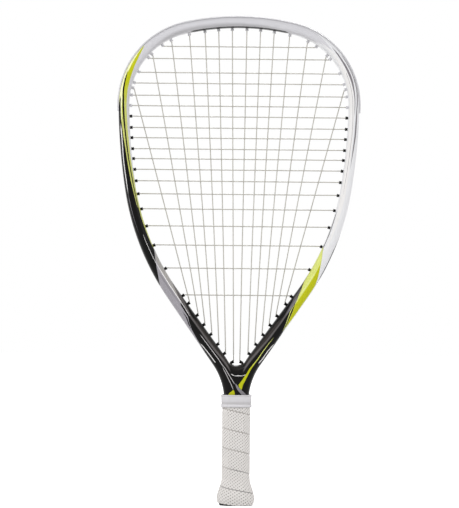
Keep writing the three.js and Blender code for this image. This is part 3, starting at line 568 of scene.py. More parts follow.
# %% [markdown]
# The stripes of one side only count distances on that side, and the throat's are laid over
# both. The last of the coats is the clear one: hardly any colour of its own, a highlight,
# and dimples about 2.5 mm across with next to no depth.

# %% The lacquer
PEEL_WIDTH, PEEL_DEPTH, PEEL_STRENGTH = 2.5, 0.2, 0.03
lacquer, tree, shader = new_material("clear_coated_paint", Roughness=0.32)
shader.inputs["Specular IOR Level"].default_value = 0.1
paint_map = add_node(tree, "ShaderNodeUVMap", uv_map="paint")
spot = add_node(tree, "ShaderNodeTexCoord")
along, across = add_node(tree, "ShaderNodeSeparateXYZ", {0: paint_map}).outputs[:2]
body = add_node(tree, "ShaderNodeSeparateXYZ", {0: spot.outputs["Object"]})
down_left, down_right, height = (
    add_node(tree, "ShaderNodeMath", {0: metres, 1: sign / MM}, operation="MULTIPLY")
    for metres, sign in ((along, -1), (along, 1), (body.outputs[2], 1))
)
sideways = add_node(tree, "ShaderNodeMapRange", {
    0: body.outputs[0], 1: -THROAT_HALF_SPAN * MM, 2: THROAT_HALF_SPAN * MM,
})
colour = add_node(tree, "ShaderNodeRGB")
colour.outputs[0].default_value = linear(WHITE)
for stripes, lengthwise, crosswise in (
    (LEFT_STRIPES, down_left, across),
    (RIGHT_STRIPES, down_right, across),
    ([as_shares(stripe) for stripe in THROAT_STRIPES], height, sideways),
):
    for stripe in stripes:
        colour = paint_stripe(tree, colour, lengthwise, crosswise, stripe)
tree.links.new(colour.outputs[2], shader.inputs["Base Color"])
peel = add_node(
    tree, "ShaderNodeTexNoise", {"Vector": spot.outputs["Object"], "Scale": 1 / (PEEL_WIDTH * MM)}
)
ripple = add_node(
    tree, "ShaderNodeBump",
    {"Height": peel, "Strength": PEEL_STRENGTH, "Distance": PEEL_DEPTH * MM},
)
tree.links.new(ripple.outputs[0], shader.inputs["Normal"])
print("lacquer nodes:", len(tree.nodes))

# %% [markdown]
# ## The tube
# The hoop, the arms and the shaft are one hollow tube, bent to shape in its mould. Its
# section is a rounded box with a groove along the outer edge for the strings. Where the two
# arms meet, the mould runs them together under one skin, so the depth of the face follows
# the distance to the nearest opening instead of the distance to the tube's own inner edge.
# Two tubes joined by a boolean would leave a crease there that the real racket doesn't have.

# %% The groove and the holes
STRING = 1.25
GROOVE_HALF, GROOVE_DEPTH = 3.525, 2.8
CHANNEL_HALF, FLOOR_TOP = 2.525, -1.7
LANE_OFFSET, LANE_DEPTH = 1.6, -0.775
GROMMET_PROUD, GROMMET_EXTRA = 2.2, 2.5
GROOVE_RUN_OUT = 9
MIDDLE_FOOT_HALF, HALVINGS = 8.2, 40
BRIDGE_PAST_HOLE, BRIDGE_SAG, BRIDGE_FOOT_HALF = 1.4, 3.2, 0.63
MAIN_TOPS = [s * ARM_END for s in (0.017, 0.049, 0.081, 0.118, 0.167, 0.2285, 0.33)]
CROSSES = [
    s * ARM_END
    for s in (
        0.1925, 0.241, 0.2855, 0.316, 0.349, 0.3765, 0.4005, 0.426, 0.449, 0.474,
        0.4965, 0.521, 0.547, 0.577, 0.613, 0.6545, 0.7025, 0.763, 0.8375,
    )
]


def beside_arm(distance, gap):
    """A place off the inner face of the tube."""
    return out_from_edge(distance, -(tube_width(distance) + gap))[:2]


def along_at_half(half, gap):
    """Where the inner face of the arm comes this near the middle, by halving."""
    low, high = ARM_START, THROAT_END
    for _ in range(HALVINGS):
        middle = (low + high) / 2
        if beside_arm(middle, gap)[0] > half:
            low = middle
        else:
            high = middle
    return low


middle_foot = along_at_half(MIDDLE_FOOT_HALF, 0)
MAIN_FEET = [
    CROSSES[-1] + (middle_foot - CROSSES[-1]) * s
    for s in (1, 0.882, 0.74, 0.591, 0.443, 0.3, 0.118)
]
GROOVE_END = MAIN_FEET[0] + GROOVE_RUN_OUT
BRIDGE_TOP = MAIN_FEET[0] - BRIDGE_PAST_HOLE
BRIDGE_FOOT = along_at_half(BRIDGE_FOOT_HALF, FIT)


def hole_mouth(distance):
    """How far out from the edge, so a negative number, the grommet's mouth is."""
    extra = GROMMET_EXTRA if distance == MAIN_FEET[0] else 0
    return -(tube_width(distance) + GROMMET_PROUD + extra)


holes = [side * s for side in (-1, 1) for s in MAIN_TOPS + MAIN_FEET + CROSSES]
print("holes:", len(holes), "bridge top at", round(BRIDGE_TOP, 1), "along")


# %% The depth of the face
OPENING_STEP, OPENING_TOP_POINTS, TINY = 2, 25, 1e-12


def bridge_top_point(share):
    """A point of the sagging top of the bridge, from -1 at the left to 1 at the right."""
    x, z = beside_arm(BRIDGE_TOP, 0)
    return share * x, z - BRIDGE_SAG * (1 - share * share)


opening_right = [beside_arm(s, 0) for s in stations(ARM_START, BRIDGE_TOP, OPENING_STEP)]
opening_top = [bridge_top_point(q) for q in np.linspace(1, -1, OPENING_TOP_POINTS)]
opening = np.array(
    opening_right + opening_top + [(-x, z) for x, z in reversed(opening_right)], float
)


def to_opening(points):
    """The distance of each (x, z) point to the outline of the hoop's opening."""
    start, way = opening[:-1], np.diff(opening, axis=0)
    square = np.maximum((way**2).sum(1), TINY)
    gap = np.array(points, float)[:, None] - start
    share = np.clip((gap * way).sum(2) / square, 0, 1)
    return np.sqrt(((gap - share[..., None] * way) ** 2).sum(2).min(1))


def face_depth(distance, half):
    """How deep the rounded face is at a distance in from its edge."""
    share = np.clip(np.asarray(distance) / half, 0, 1)
    return HALF_DEPTH * (1 - (1 - share) ** ROUNDNESS) ** (1 / ROUNDNESS)


print("depth mm at 1, 3 and 6 in from the edge:", face_depth([1, 3, 6], tube_width(0) / 2).round(1))

# %% The tube's rings
LIP_ANGLE = math.asin((GROOVE_HALF / HALF_DEPTH) ** (ROUNDNESS / 2)) + 0.03
FACE_POINTS = 24
CROWN_STEP, THROAT_STEP, SHAFT_STEP = 2.5, 1.4, 2
LIP_DROP, LIP_EASE, LIP_OUT = 0.35, 0.1, 0.06
MERGE_START = ARM_START + 40  # From here on the arms come near enough to run together.
SEAM = 0.002  # Keeps the two arms' skins apart in the middle, so that they don't weld.
PAINT_MARGIN = 0.004  # Keeps the paint numbers off the very ends of the curves.
face_angles = np.concatenate([
    np.linspace(LIP_ANGLE, math.pi / 2, FACE_POINTS // 2, endpoint=False),
    np.linspace(math.pi / 2, math.pi, FACE_POINTS // 2 + 1),
])


def tube_ring(along):
    """One ring of the tube, with the paint numbers of its points."""
    # The ring starts in the groove, goes over its lip and round the front face to the inner
    # edge, and comes back over the back face.
    distance = abs(along)
    width = tube_width(distance)
    half = width / 2
    cosine = np.cos(face_angles)
    out = np.sign(cosine) * np.abs(cosine) ** (2 / ROUNDNESS) * half - half
    out = np.maximum(out, -width)
    if distance > MERGE_START:
        spots = [place(distance, a, 0, SEAM) for a in out]
        inner = to_opening([(x, z) for x, _, z in spots])
        below = distance > BRIDGE_TOP
        inner = np.where(below | (out < -half), inner, half)
    else:
        inner = width + out
    depth = face_depth(np.minimum(-out, inner), half)
    groove = GROOVE_DEPTH if distance < GROOVE_END else FIT
    lip = float(out[0])
    upper = [
        (-groove, GROOVE_HALF), (lip - LIP_DROP, GROOVE_HALF),
        (lip - LIP_EASE, GROOVE_HALF + LIP_OUT), *zip(out, depth),
    ]
    section = upper + [(a, -b) for a, b in reversed(upper)]
    ring = [place(along, a, b, SEAM) for a, b in section]
    across = [min(max(-a / width, PAINT_MARGIN), 1 - PAINT_MARGIN) for a, _ in section]
    return ring, [(along * MM, share) for share in across]


tube_stations = (
    stations(0, MERGE_START, CROWN_STEP)[:-1]
    + stations(MERGE_START, GROOVE_END, THROAT_STEP)
    + stations(GROOVE_END + SHAFT_STEP, EDGE_END, SHAFT_STEP)
)
tube_stations = [-s for s in reversed(tube_stations[1:])] + tube_stations
rings, paint = zip(*(tube_ring(s) for s in tube_stations))
racket_frame = loft("racket_frame", rings, marks=[m for row in paint for m in row])
racket_frame.data.materials.append(lacquer)
print("tube faces:", len(racket_frame.data.polygons))

# %% The holes for the grommets
DRILL_RADIUS, DRILL_SIDES, DRILL_PAST_MOUTH, DRILL_PAST_EDGE = 1.9, 12, 2, 1.5


def pin(along, out):
    """One ring of a straight pin that is square to the edge."""
    side, distance = side_of(along)
    x, z, heading = out_from_edge(distance, out)
    ring = []
    for k in range(DRILL_SIDES):
        turn = 2 * math.pi * k / DRILL_SIDES
        shift = DRILL_RADIUS * math.cos(turn)
        ring.append((
            side * (x + shift * math.cos(heading)),
            DRILL_RADIUS * math.sin(turn),
            z - shift * math.sin(heading),
        ))
    return ring


def drill(thing, places):
    """Drills the grommets' holes through a piece."""
    points, faces = [], []
    for s in places:
        rings = [pin(s, out) for out in (hole_mouth(abs(s)) - DRILL_PAST_MOUTH, DRILL_PAST_EDGE)]
        faces += [tuple(i + len(points) for i in face) for face in skin(rings)]
        points += [p for ring in rings for p in ring]
    apply_boolean(thing, make_piece("drill", points, faces), "DIFFERENCE")


drill(racket_frame, holes)
print("tube faces after drilling:", len(racket_frame.data.polygons))

# %% [markdown]
# ## The bridge
# The web in the bottom of the V keeps the arms apart under the pull of the strings. It comes
# out of the same mould, so it carries the same skin and follows the same rule for its depth.
# It is a grid of points on the front and the same grid on the back, closed round its sides,
# because a grid bends with the sagging top where a flat plate with a bevel wouldn't.

# %% Bridge
BRIDGE_HALF = TUBE_WIDTHS[2] / 2
BRIDGE_BEDDING = 0.03  # Its face lies this much lower, so that only one skin shows.
BRIDGE_OVERLAP, BRIDGE_NARROWS, BRIDGE_TAIL = 0.25, 0.15, 20
BRIDGE_COLUMNS, BRIDGE_ROUND_ROWS, BRIDGE_STEP, BRIDGE_PAINT = 33, 12, 1.5, 0.9
face_steps = [
    BRIDGE_HALF * (1 - abs(math.cos(t)) ** (2 / ROUNDNESS))
    for t in np.linspace(0, math.pi / 2, BRIDGE_ROUND_ROWS)
]
bridge_alongs = [BRIDGE_TOP + d for d in face_steps]
bridge_alongs += stations(
    bridge_alongs[-1] + BRIDGE_STEP, BRIDGE_FOOT + BRIDGE_TAIL, BRIDGE_STEP
)
columns = np.linspace(-1, 1, BRIDGE_COLUMNS)
front, marks = [], []
for s in bridge_alongs:
    x, z = beside_arm(min(s, BRIDGE_FOOT), 0)
    below = max(s - BRIDGE_FOOT, 0)
    half = max(x + BRIDGE_OVERLAP - BRIDGE_NARROWS * below, BRIDGE_OVERLAP)
    share = max(0, 1 - (s - BRIDGE_TOP) / (BRIDGE_FOOT - BRIDGE_TOP))
    for q in columns:
        front.append((q * half, z - below - BRIDGE_SAG * share * (1 - q * q)))
        marks.append((s * MM, BRIDGE_PAINT))
depths = face_depth(to_opening(front), BRIDGE_HALF) - BRIDGE_BEDDING
depths[:BRIDGE_COLUMNS] = 0
points = [(x, way * max(d, 0), z) for way in (-1, 1) for (x, z), d in zip(front, depths)]
rows, wide, back = len(bridge_alongs), BRIDGE_COLUMNS, len(front)
faces = []
for r in range(rows - 1):
    for i in range(wide - 1):
        a = r * wide + i
        quad = (a, a + 1, a + wide + 1, a + wide)
        faces += [quad, tuple(v + back for v in reversed(quad))]
    for a in (r * wide, r * wide + wide - 1):
        faces.append((a, a + wide, a + wide + back, a + back))
last = (rows - 1) * wide
faces += [(a, a + 1, a + 1 + back, a + back) for a in range(last, last + wide - 1)]
throat_bridge = make_piece("throat_web", points, faces, marks * 2)
throat_bridge.data.materials.append(lacquer)
drill(throat_bridge, [s for s in holes if abs(s) > MAIN_FEET[2]])
print("bridge faces:", len(throat_bridge.data.polygons))

# %% [markdown]
# ## Nylon
# The bumper and the grommet strips are moulded nylon: tough, a little waxy, with a soft
# highlight. The fine mottle is the texture of the mould. Noise in the piece's own
# coordinates gives it at its real size, with no seams, and the other moulded pieces on the
# racket are finished by the same function with other colours and sizes.

# %% Nylon
GRAIN_DETAIL, GRAIN_DEPTH = 4.0, 0.1


def mottled(name, colour, darker, size, roughness, strength, **surface):
    """A moulded material whose colour and surface vary gently at a size in millimetres."""
    material, tree, shader = new_material(name, Roughness=roughness, **surface)
    spot = add_node(tree, "ShaderNodeTexCoord")
    grain = add_node(
        tree, "ShaderNodeTexNoise",
        {"Vector": spot.outputs["Object"], "Scale": 1 / (size * MM), "Detail": GRAIN_DETAIL},
    )
    tint = add_node(
        tree, "ShaderNodeMix",
        {"Factor": grain, "A": linear(darker), "B": linear(colour)}, data_type="RGBA",
    )
    bump = add_node(
        tree, "ShaderNodeBump",
        {"Height": grain, "Strength": strength, "Distance": GRAIN_DEPTH * MM},
    )
    tree.links.new(tint.outputs[2], shader.inputs["Base Color"])
    tree.links.new(bump.outputs[0], shader.inputs["Normal"])
    return material


white_nylon = mottled("moulded_white_nylon", "#D9D8DB", "#CAC9CD", 0.6, 0.42, 0.15)
black_nylon = mottled(
    "moulded_black_nylon", "#0D0C0C", "#080808", 0.6, 0.45, 0.15, Specular_IOR_Level=0.15
)
print("nylon:", white_nylon.name, black_nylon.name)

# %% [markdown]
# ## Grommets
# A grommet is a little tube with a rolled mouth that keeps the string off the carbon. There
# are 66 of them, all alike, so one is modelled and Geometry Nodes puts a copy at each hole,
# turned to point into the hoop.

# %% One grommet
GROMMET_SIDES, GROMMET_SEAT = 12, 0.5
# Radius and height of the profile, from the bore over the mouth and down the outside.
GROMMET_PROFILE = (
    (0.95, -3.0), (0.95, 0.75), (1.15, 1.1), (1.5, 1.25), (1.85, 1.15), (1.95, 0.75),
    (1.85, 0.3), (1.65, -0.1), (1.6, -3.0),
)
turns = [2 * math.pi * k / GROMMET_SIDES for k in range(GROMMET_SIDES)]
rings = [[(r * math.cos(t), r * math.sin(t), h) for t in turns] for r, h in GROMMET_PROFILE]
grommet = loft("grommet_pattern", rings, around=True)
print("faces in one grommet:", len(grommet.data.polygons))


# %% The tree that repeats it
def new_tree(name, inputs):
    """A Geometry Nodes tree with a geometry in and out and named inputs."""
    tree = bpy.data.node_groups.new(name, "GeometryNodeTree")
    for label, kind in {"Geometry": "Geometry", **inputs}.items():
        tree.interface.new_socket(label, in_out="INPUT", socket_type="NodeSocket" + kind)
    tree.interface.new_socket("Geometry", in_out="OUTPUT", socket_type="NodeSocketGeometry")
    return tree, tree.nodes.new("NodeGroupInput").outputs


def close_tree(tree, geometry, material):
    """Ends a tree: real geometry, smooth faces and a material."""
    real = add_node(tree, "GeometryNodeRealizeInstances", {0: geometry})
    smooth = add_node(tree, "GeometryNodeSetShadeSmooth", {"Geometry": real})
    dressed = add_node(tree, "GeometryNodeSetMaterial", {"Geometry": smooth, "Material": material})
    add_node(tree, "NodeGroupOutput", {0: dressed})


def grow(name, host, tree, values):
    """Runs a tree on an object and keeps the result as a plain mesh."""
    step = host.modifiers.new("grow", "NODES")
    step.node_group = tree
    for item in tree.interface.items_tree:
        if item.in_out == "INPUT" and item.name in values:
            step[item.identifier] = values[item.name]
    host.update_tag()
    bpy.context.view_layer.update()
    seen = host.evaluated_get(bpy.context.evaluated_depsgraph_get())
    mesh = bpy.data.meshes.new_from_object(seen)
    mesh.name = name
    mesh.materials.clear()
    mesh.materials.append(values["Finish"])
    mesh.polygons.foreach_set("material_index", [0] * len(mesh.polygons))
    host.modifiers.remove(step)
    bpy.data.objects.remove(host)
    return put(name, mesh)


grommet_tree, given = new_tree("grommet_row", {"Pattern": "Object", "Finish": "Material"})
pattern = add_node(grommet_tree, "GeometryNodeObjectInfo", {"Object": given["Pattern"]})
way = add_node(
    grommet_tree, "GeometryNodeInputNamedAttribute", {"Name": "way"}, data_type="FLOAT_VECTOR"
)
turned = add_node(grommet_tree, "FunctionNodeAlignRotationToVector", {"Vector": way}, axis="Z")
row = add_node(grommet_tree, "GeometryNodeInstanceOnPoints", {
    "Points": given["Geometry"], "Instance": pattern.outputs["Geometry"], "Rotation": turned,
})
close_tree(grommet_tree, row, given["Finish"])
print("nodes in the grommet tree:", len(grommet_tree.nodes))


def grommet_row(name, places, finish):
    """The grommets at some holes, pointing into the hoop."""
    points, ways = [], []
    for s in places:
        side, distance = side_of(s)
        x, z, heading = out_from_edge(distance, hole_mouth(distance) + GROMMET_SEAT)
        points.append((side * x * MM, 0, z * MM))
        ways += [-side * math.sin(heading), 0, -math.cos(heading)]
    mesh = bpy.data.meshes.new(name)
    mesh.from_pydata(points, [], [])
    mesh.attributes.new("way", "FLOAT_VECTOR", "POINT").data.foreach_set("vector", ways)
    return grow(name, put(name, mesh), grommet_tree, {"Pattern": grommet, "Finish": finish})


# %% [markdown]
# ## Bumper and strips
# The bumper is the part that meets the wall. It lines the groove, comes up through it and
# laps over the crown on both sides, and it carries the grommets there. Down the sides and
# in the throat four flat strips do the same work without the lap. Each is a section carried
# along the edge, with its own row of grommets. The section has the real thickness, so that
# the step from the nylon to the paint is there from every side.

# %% Sections of the linings
CROWN_LIFT = 1.2
LAP_GAP, LAP_END, LAP_POINTS, LAP_TAPER = 0.4, 7.2, 5, 0.7
LAP_OUT, LAP_OUT_TAPER, LAP_CORNER = 0.35, 0.15, 0.5
LAP_ROOT = FIT - 0.1
STRIP_CREST, STRIP_STEP, STRIP_BEVEL = 0.35, 0.6, 0.9
BUMPER_ROUND, STRIP_ROUND, LINING_STEP = 0.35, 0.2, 3
bumper_end = (CROSSES[5] + CROSSES[6]) / 2
side_strip_end = (CROSSES[-1] + MAIN_FEET[-1]) / 2
throat_strip_end = GROOVE_END - FIT


def tube_top(depth, half):
    """How far out the tube's face is at a depth."""
    return half * (1 - (depth / HALF_DEPTH) ** ROUNDNESS) ** (1 / ROUNDNESS) - half


def mirrored(upper, radius):
    """A whole section from its upper half, with its corners rounded."""
    return round_off(upper + [(a, -b) for a, b in reversed(upper)], radius)


def bumper_section():
    half = tube_width(0) / 2
    under, over = [], []
    for i, depth in enumerate(np.linspace(GROOVE_HALF + LAP_GAP, LAP_END, LAP_POINTS)):
        top, share = tube_top(depth, half), i / (LAP_POINTS - 1)
        under.append((top + FIT, depth))
        over.append((top + CROWN_LIFT - LAP_TAPER * share, depth + LAP_OUT - LAP_OUT_TAPER * share))
    upper = [(-GROOVE_DEPTH + FIT, GROOVE_HALF - FIT), (LAP_ROOT, GROOVE_HALF - FIT)]
    upper += under + over[::-1]
    upper += [(CROWN_LIFT, GROOVE_HALF + LAP_CORNER), (CROWN_LIFT, CHANNEL_HALF)]
    upper.append((FLOOR_TOP, CHANNEL_HALF))
    return mirrored(upper, BUMPER_ROUND)


def strip_section():
    half, crest = GROOVE_HALF - FIT, FLOOR_TOP + STRIP_CREST
    upper = [
        (-GROOVE_DEPTH + FIT, half), (crest, half), (crest, half - STRIP_STEP),
        (FLOOR_TOP, half - STRIP_BEVEL),
    ]
    return mirrored(upper, STRIP_ROUND)


def lining(name, start, end, section, finish):
    """A section carried along the edge, with the grommets of the holes that it covers."""
    rings = [[place(s, a, b) for a, b in section] for s in stations(start, end, LINING_STEP)]
    piece = loft(name, rings)
    piece.data.materials.append(finish)
    served = [s for s in holes if min(start, end) < s < max(start, end)]
    return join_pieces(name, [piece, grommet_row(name + "_row", served, finish)])


print("points round a bumper section and a strip:", len(bumper_section()), len(strip_section()))

# %% The five linings
bumper = lining("crown_bumper", -bumper_end, bumper_end, bumper_section(), white_nylon)
strips = {}
for side, word in ((-1, "left"), (1, "right")):
    for node, name, start, end in (
        ("grommet_strip_", "side_lining_", bumper_end, side_strip_end),
        ("throat_grommet_strip_", "throat_lining_", side_strip_end, throat_strip_end),
    ):
        strips[node + word] = lining(
            name + word, side * (start + FIT), side * end, strip_section(), black_nylon
        )
bpy.data.objects.remove(grommet)
print("bumper faces:", len(bumper.data.polygons))

# %% [markdown]
# ## The string bed
# The mains are strung first, up and down, and the crosses are then woven over one main and
# under the next. Both bend at each crossing, the crosses more, because they go in last. Each
# string is one length that turns round in the groove between two holes. Straight strings
# through each other would look right from far away, but the weave is what the eye looks for
# close up. So the path is worked out crossing by crossing, and Geometry Nodes sweeps a round
# section along it.

# %% Where the strings run
MAIN_BEND, CROSS_BEND = 0.45, 0.85
MOUTH_IN, LANE_DIP, LANE_ENTRY, LANE_STEP, TAIL = 0.6, 0.2, 2.4, 6, 6
WAVE_STEPS = 4


def mouth(s):
    """Where a string passes the mouth of a grommet."""
    return np.array(place(s, hole_mouth(abs(s)) - MOUTH_IN, 0))


def in_lane(s, lane):
    """A place in one of the two lanes of the groove."""
    return np.array(place(s, LANE_DEPTH, lane))


def out_through(s, lane, towards):
    """From the mouth of a grommet through the tube to the lane in the groove."""
    return [np.array(place(s, LANE_DEPTH - LANE_DIP, 0)), in_lane(s + towards * LANE_ENTRY, lane)]


def waved(knots):
    """Points between knots, which are each a place and a bend, eased like a bent rod."""
    path = [knots[0][0]]
    for (a, bend_a), (b, bend_b) in zip(knots, knots[1:]):
        for k in range(1, WAVE_STEPS + 1):
            t = k / WAVE_STEPS
            ease = (1 - math.cos(math.pi * t)) / 2
            point = a + (b - a) * t
            point[1] = a[1] * (1 - t) + b[1] * t + bend_a + (bend_b - bend_a) * ease
            path.append(point)
    return path


right_mains = list(zip(MAIN_TOPS, MAIN_FEET))
main_lines = [(-top, -foot) for top, foot in reversed(right_mains)] + right_mains
cross_lines = [(-s, s) for s in CROSSES]


def crossing(main, cross):
    """Where a main passes a cross inside the hoop, or None."""
    top, foot = mouth(main[0]), mouth(main[1])
    left, right = mouth(cross[0]), mouth(cross[1])
    share = (top[2] - left[2]) / (top[2] - foot[2])
    x = top[0] + (foot[0] - top[0]) * share
    if 0 < share < 1 and left[0] < x < right[0]:
        return np.array((x, 0.0, left[2]))
    return None


def over(i, j):
    """The side on which a cross passes a main: -1 is in front."""
    return -1 if (i + j) % 2 else 1


def main_knots(i):
    found = [(crossing(main_lines[i], cross), j) for j, cross in enumerate(cross_lines)]
    inner = [(at, -over(i, j) * MAIN_BEND) for at, j in found if at is not None]
    return [(mouth(main_lines[i][0]), 0), *inner, (mouth(main_lines[i][1]), 0)]


def cross_knots(j):
    found = [(crossing(main, cross_lines[j]), i) for i, main in enumerate(main_lines)]
    inner = [(at, over(i, j) * CROSS_BEND) for at, i in found if at is not None]
    return [(mouth(cross_lines[j][0]), 0), *inner, (mouth(cross_lines[j][1]), 0)]


print("crossings:", sum(len(cross_knots(j)) - 2 for j in range(len(cross_lines))))

# %% The two lengths of string
CORNER_RADIUS, CORNER_STEPS, NEARLY_STRAIGHT, NO_LENGTH = 1.1, 4, -0.94, 1e-6


def softened(path):
    """The path with its sharp corners rounded."""
    result = [path[0]]
    for before, here, after in zip(path, path[1:], path[2:]):
        back, on = before - here, after - here
        back_length, on_length = np.linalg.norm(back), np.linalg.norm(on)
        if min(back_length, on_length) < NO_LENGTH:
            continue
        if back @ on / back_length / on_length < NEARLY_STRAIGHT:
            result.append(here)
        else:
            result += round_corner(here, before, after, CORNER_RADIUS, CORNER_STEPS)
    return result + [path[-1]]


def strung(lines, knots_of, lane, first_down):
    """One string through its holes, line after line, with a tail at each end."""
    path = []
    for i, ends in enumerate(lines):
        forward = (i % 2 == 0) == first_down
        enter, leave = ends if forward else ends[::-1]
        came_from = lines[i - 1][1 if forward else 0] if i else enter + math.copysign(TAIL, enter)
        goes_to = lines[i + 1][1 if forward else 0] if i + 1 < len(lines) else leave + TAIL
        if not i:
            path.append(in_lane(came_from, lane))
        path += out_through(enter, lane, math.copysign(1, came_from - enter))[::-1]
        knots = knots_of(i)
        path += waved(knots if forward else knots[::-1])
        path += out_through(leave, lane, math.copysign(1, goes_to - leave))
        if i + 1 < len(lines):
            path += [in_lane(s, lane) for s in stations(leave, goes_to, LANE_STEP)[1:-1]]
        else:
            path.append(in_lane(goes_to, lane))
    return softened(path)


def path_length(path):
    return sum(np.linalg.norm(b - a) for a, b in zip(path, path[1:]))


main_path = strung(main_lines, main_knots, -LANE_OFFSET, False)
cross_path = strung(cross_lines, cross_knots, LANE_OFFSET, True)
print("mains mm:", round(path_length(main_path)), "crosses mm:", round(path_length(cross_path)))

# %% [markdown]
# Racquetball strings are nylon, wound and coated: pale, faintly amber where the light goes
# through, with a smooth satin skin. The bump is the lay of the outer wrap.

# %% String material and tree
STRING_SIDES = 8
string_nylon = mottled("coated_nylon_string", "#C4C1B9", "#ADAAA2", 1.2, 0.4, 0.2)
string_tree, given = new_tree(
    "swept_string", {"Diameter": "Float", "Sides": "Int", "Finish": "Material"}
)
radius = add_node(
    string_tree, "ShaderNodeMath", {0: given["Diameter"], 1: 2.0}, operation="DIVIDE"
)
section = add_node(string_tree, "GeometryNodeCurvePrimitiveCircle", {
    "Resolution": given["Sides"], "Radius": radius,
})
swept = add_node(
    string_tree, "GeometryNodeCurveToMesh",
    {"Curve": given["Geometry"], "Profile Curve": section, "Fill Caps": True},
)
close_tree(string_tree, swept, given["Finish"])


def line_through(name, points, closed=False):
    """A curve object of straight steps through some points."""
    curve = bpy.data.curves.new(name, "CURVE")
    curve.dimensions = "3D"
    spline = curve.splines.new("POLY")
    spline.points.add(len(points) - 1)
    spline.points.foreach_set("co", [v for point in points for v in (*point, 1)])
    spline.use_cyclic_u = closed
    return put(name, curve)


def sweep_string(name, path):
    values = {"Diameter": STRING * MM, "Sides": STRING_SIDES, "Finish": string_nylon}
    return grow(name, line_through(name, [point * MM for point in path]), string_tree, values)


mains = sweep_string("mains", main_path)
crosses = sweep_string("crosses", cross_path)
print("string faces:", len(mains.data.polygons) + len(crosses.data.polygons))

# %% [markdown]
# ## The handle's outline
# Foam pallets make the round shaft into an octagon that the hand can feel. Everything on
# the handle is that octagon, a little larger or smaller, with its corners softened. One
# function draws it, so that the layers fit inside each other without being measured again.

# %% Octagon rings
GRIP_HALF_WIDTH, GRIP_HALF_DEPTH = 16.1, 14.2
BEVEL_SHARE, THROAT_BEVEL_SHARE = 0.52, 0.35
FLARE_OUT, FLARE_TOP, FLARE_PEAK, HEEL = 5.5, 31, 9, 1.9


def octagon(half_x, half_y, corner, bevel_share=BEVEL_SHARE):
    """The outline of an octagon, with softened corners, as (x, y) points."""
    bevel = bevel_share * min(half_x, half_y)
    x, y = half_x - bevel, half_y - bevel
    corners = [
        (half_x, -y), (half_x, y), (x, half_y), (-x, half_y),
        (-half_x, y), (-half_x, -y), (-x, -half_y), (x, -half_y),
    ]
    return round_off(corners, corner)


def grip_octagon(out, corner):
    """The grip's octagon, grown outwards or, where out is negative, shrunk."""
    return octagon(GRIP_HALF_WIDTH + out, GRIP_HALF_DEPTH + out, corner)


def at_height(outline, height):
    return [(x, y, height) for x, y in outline]


def flare(height):
    """How far the grip stands out from its straight part at a height."""
    t = min(max((height - FLARE_PEAK + 1) / (FLARE_TOP - FLARE_PEAK + 1), 0), 1)
    swell = FLARE_OUT * (1 - t * t * (3 - 2 * t))
    return swell - HEEL * max(0, 1 - height / FLARE_PEAK) ** 2


widths = [round(2 * (GRIP_HALF_WIDTH + flare(h)), 1) for h in (0, FLARE_TOP)]
print("grip width mm, low and high:", widths)

# %% [markdown]
# ## The grip
# The grip is one strip of soft synthetic leather, punched with small holes so that it
# breathes, and wound up the handle with its edges just touching. A smooth sleeve with a bump
# map would show neither the steps between the turns nor the depth of the holes, and modelling
# over two thousand holes by hand is no use when the pitch changes. So Geometry Nodes repeats one
# punched square over a flat strip, gives the strip its back and sides, and then winds it:
# the distance along the strip becomes a place round the octagon and a height. A block then
# trims both ends, as the winder's knife does: level under the collar, and at the heel along
# a line that climbs to the left.

# %% The punched square
CELL = 3.617
HOLE_RADIUS, HOLE_DEPTH, HOLE_SIDES = 0.55, 0.9, 8
HOLE_TOP, HOLE_BOTTOM = 1.2, 0.85  # How much wider and narrower the punch leaves the hole.
# A square of four quarters. Two opposite quarters have a hole, so that the holes stagger.
quarter = CELL / 4
corners = [(-1, -1), (1, -1), (1, 1), (-1, 1)]
turns = [math.radians(225 + 45 * k) for k in range(HOLE_SIDES)]
points, faces = [], []
for middle_x, middle_y in corners:
    first = len(points)
    points += [((middle_x + x) * quarter, (middle_y + y) * quarter, 0) for x, y in corners]
    if middle_x != middle_y:
        faces.append(tuple(range(first, first + 4)))
        continue
    x, y = middle_x * quarter, middle_y * quarter
    for share, depth in ((HOLE_TOP, 0), (HOLE_BOTTOM, -HOLE_DEPTH)):
        radius = HOLE_RADIUS * share
        points += [(x + radius * math.cos(t), y + radius * math.sin(t), depth) for t in turns]
    top, bottom = first + 4, first + 4 + HOLE_SIDES
    for k in range(4):
        arc = [top + (2 * k + j) % HOLE_SIDES for j in (2, 1, 0)]
        faces.append((first + k, first + (k + 1) % 4, *arc))
    for k in range(HOLE_SIDES):
        j = (k + 1) % HOLE_SIDES
        faces.append((top + k, top + j, bottom + j, bottom + k))
    faces.append(tuple(range(bottom, bottom + HOLE_SIDES)))
mesh = bpy.data.meshes.new("punched_square")
mesh.from_pydata([(x * MM, y * MM, z * MM) for x, y, z in points], [], faces)
pit = mesh.attributes.new("pit", "FLOAT", "POINT")
pit.data.foreach_set("value", [float(z < 0) for _, _, z in points])
punched = put("punched_square", mesh)
print("faces in one punched square:", len(faces))

# %% [markdown]
# The winding is arithmetic on each point of the flat strip, so it is written as a table.
# The strip is thinner at its edges, where each turn meets the next, and it follows the handle
# out over the flare at the butt. "lifted" is 1 on the face of the strip and 0 on its back.

# %% The winding, worked out
WIND_SIZES = (
    "Pitch", "Cell", "Columns", "Rows", "Thickness", "Edge", "Start", "Flare", "Flare Top",
    "Flare Peak", "Heel", "Half Width", "Half Depth", "Turn Length",
)
SUM, RANGE = ("ShaderNodeMath", "operation"), ("ShaderNodeMapRange", "interpolation_type")
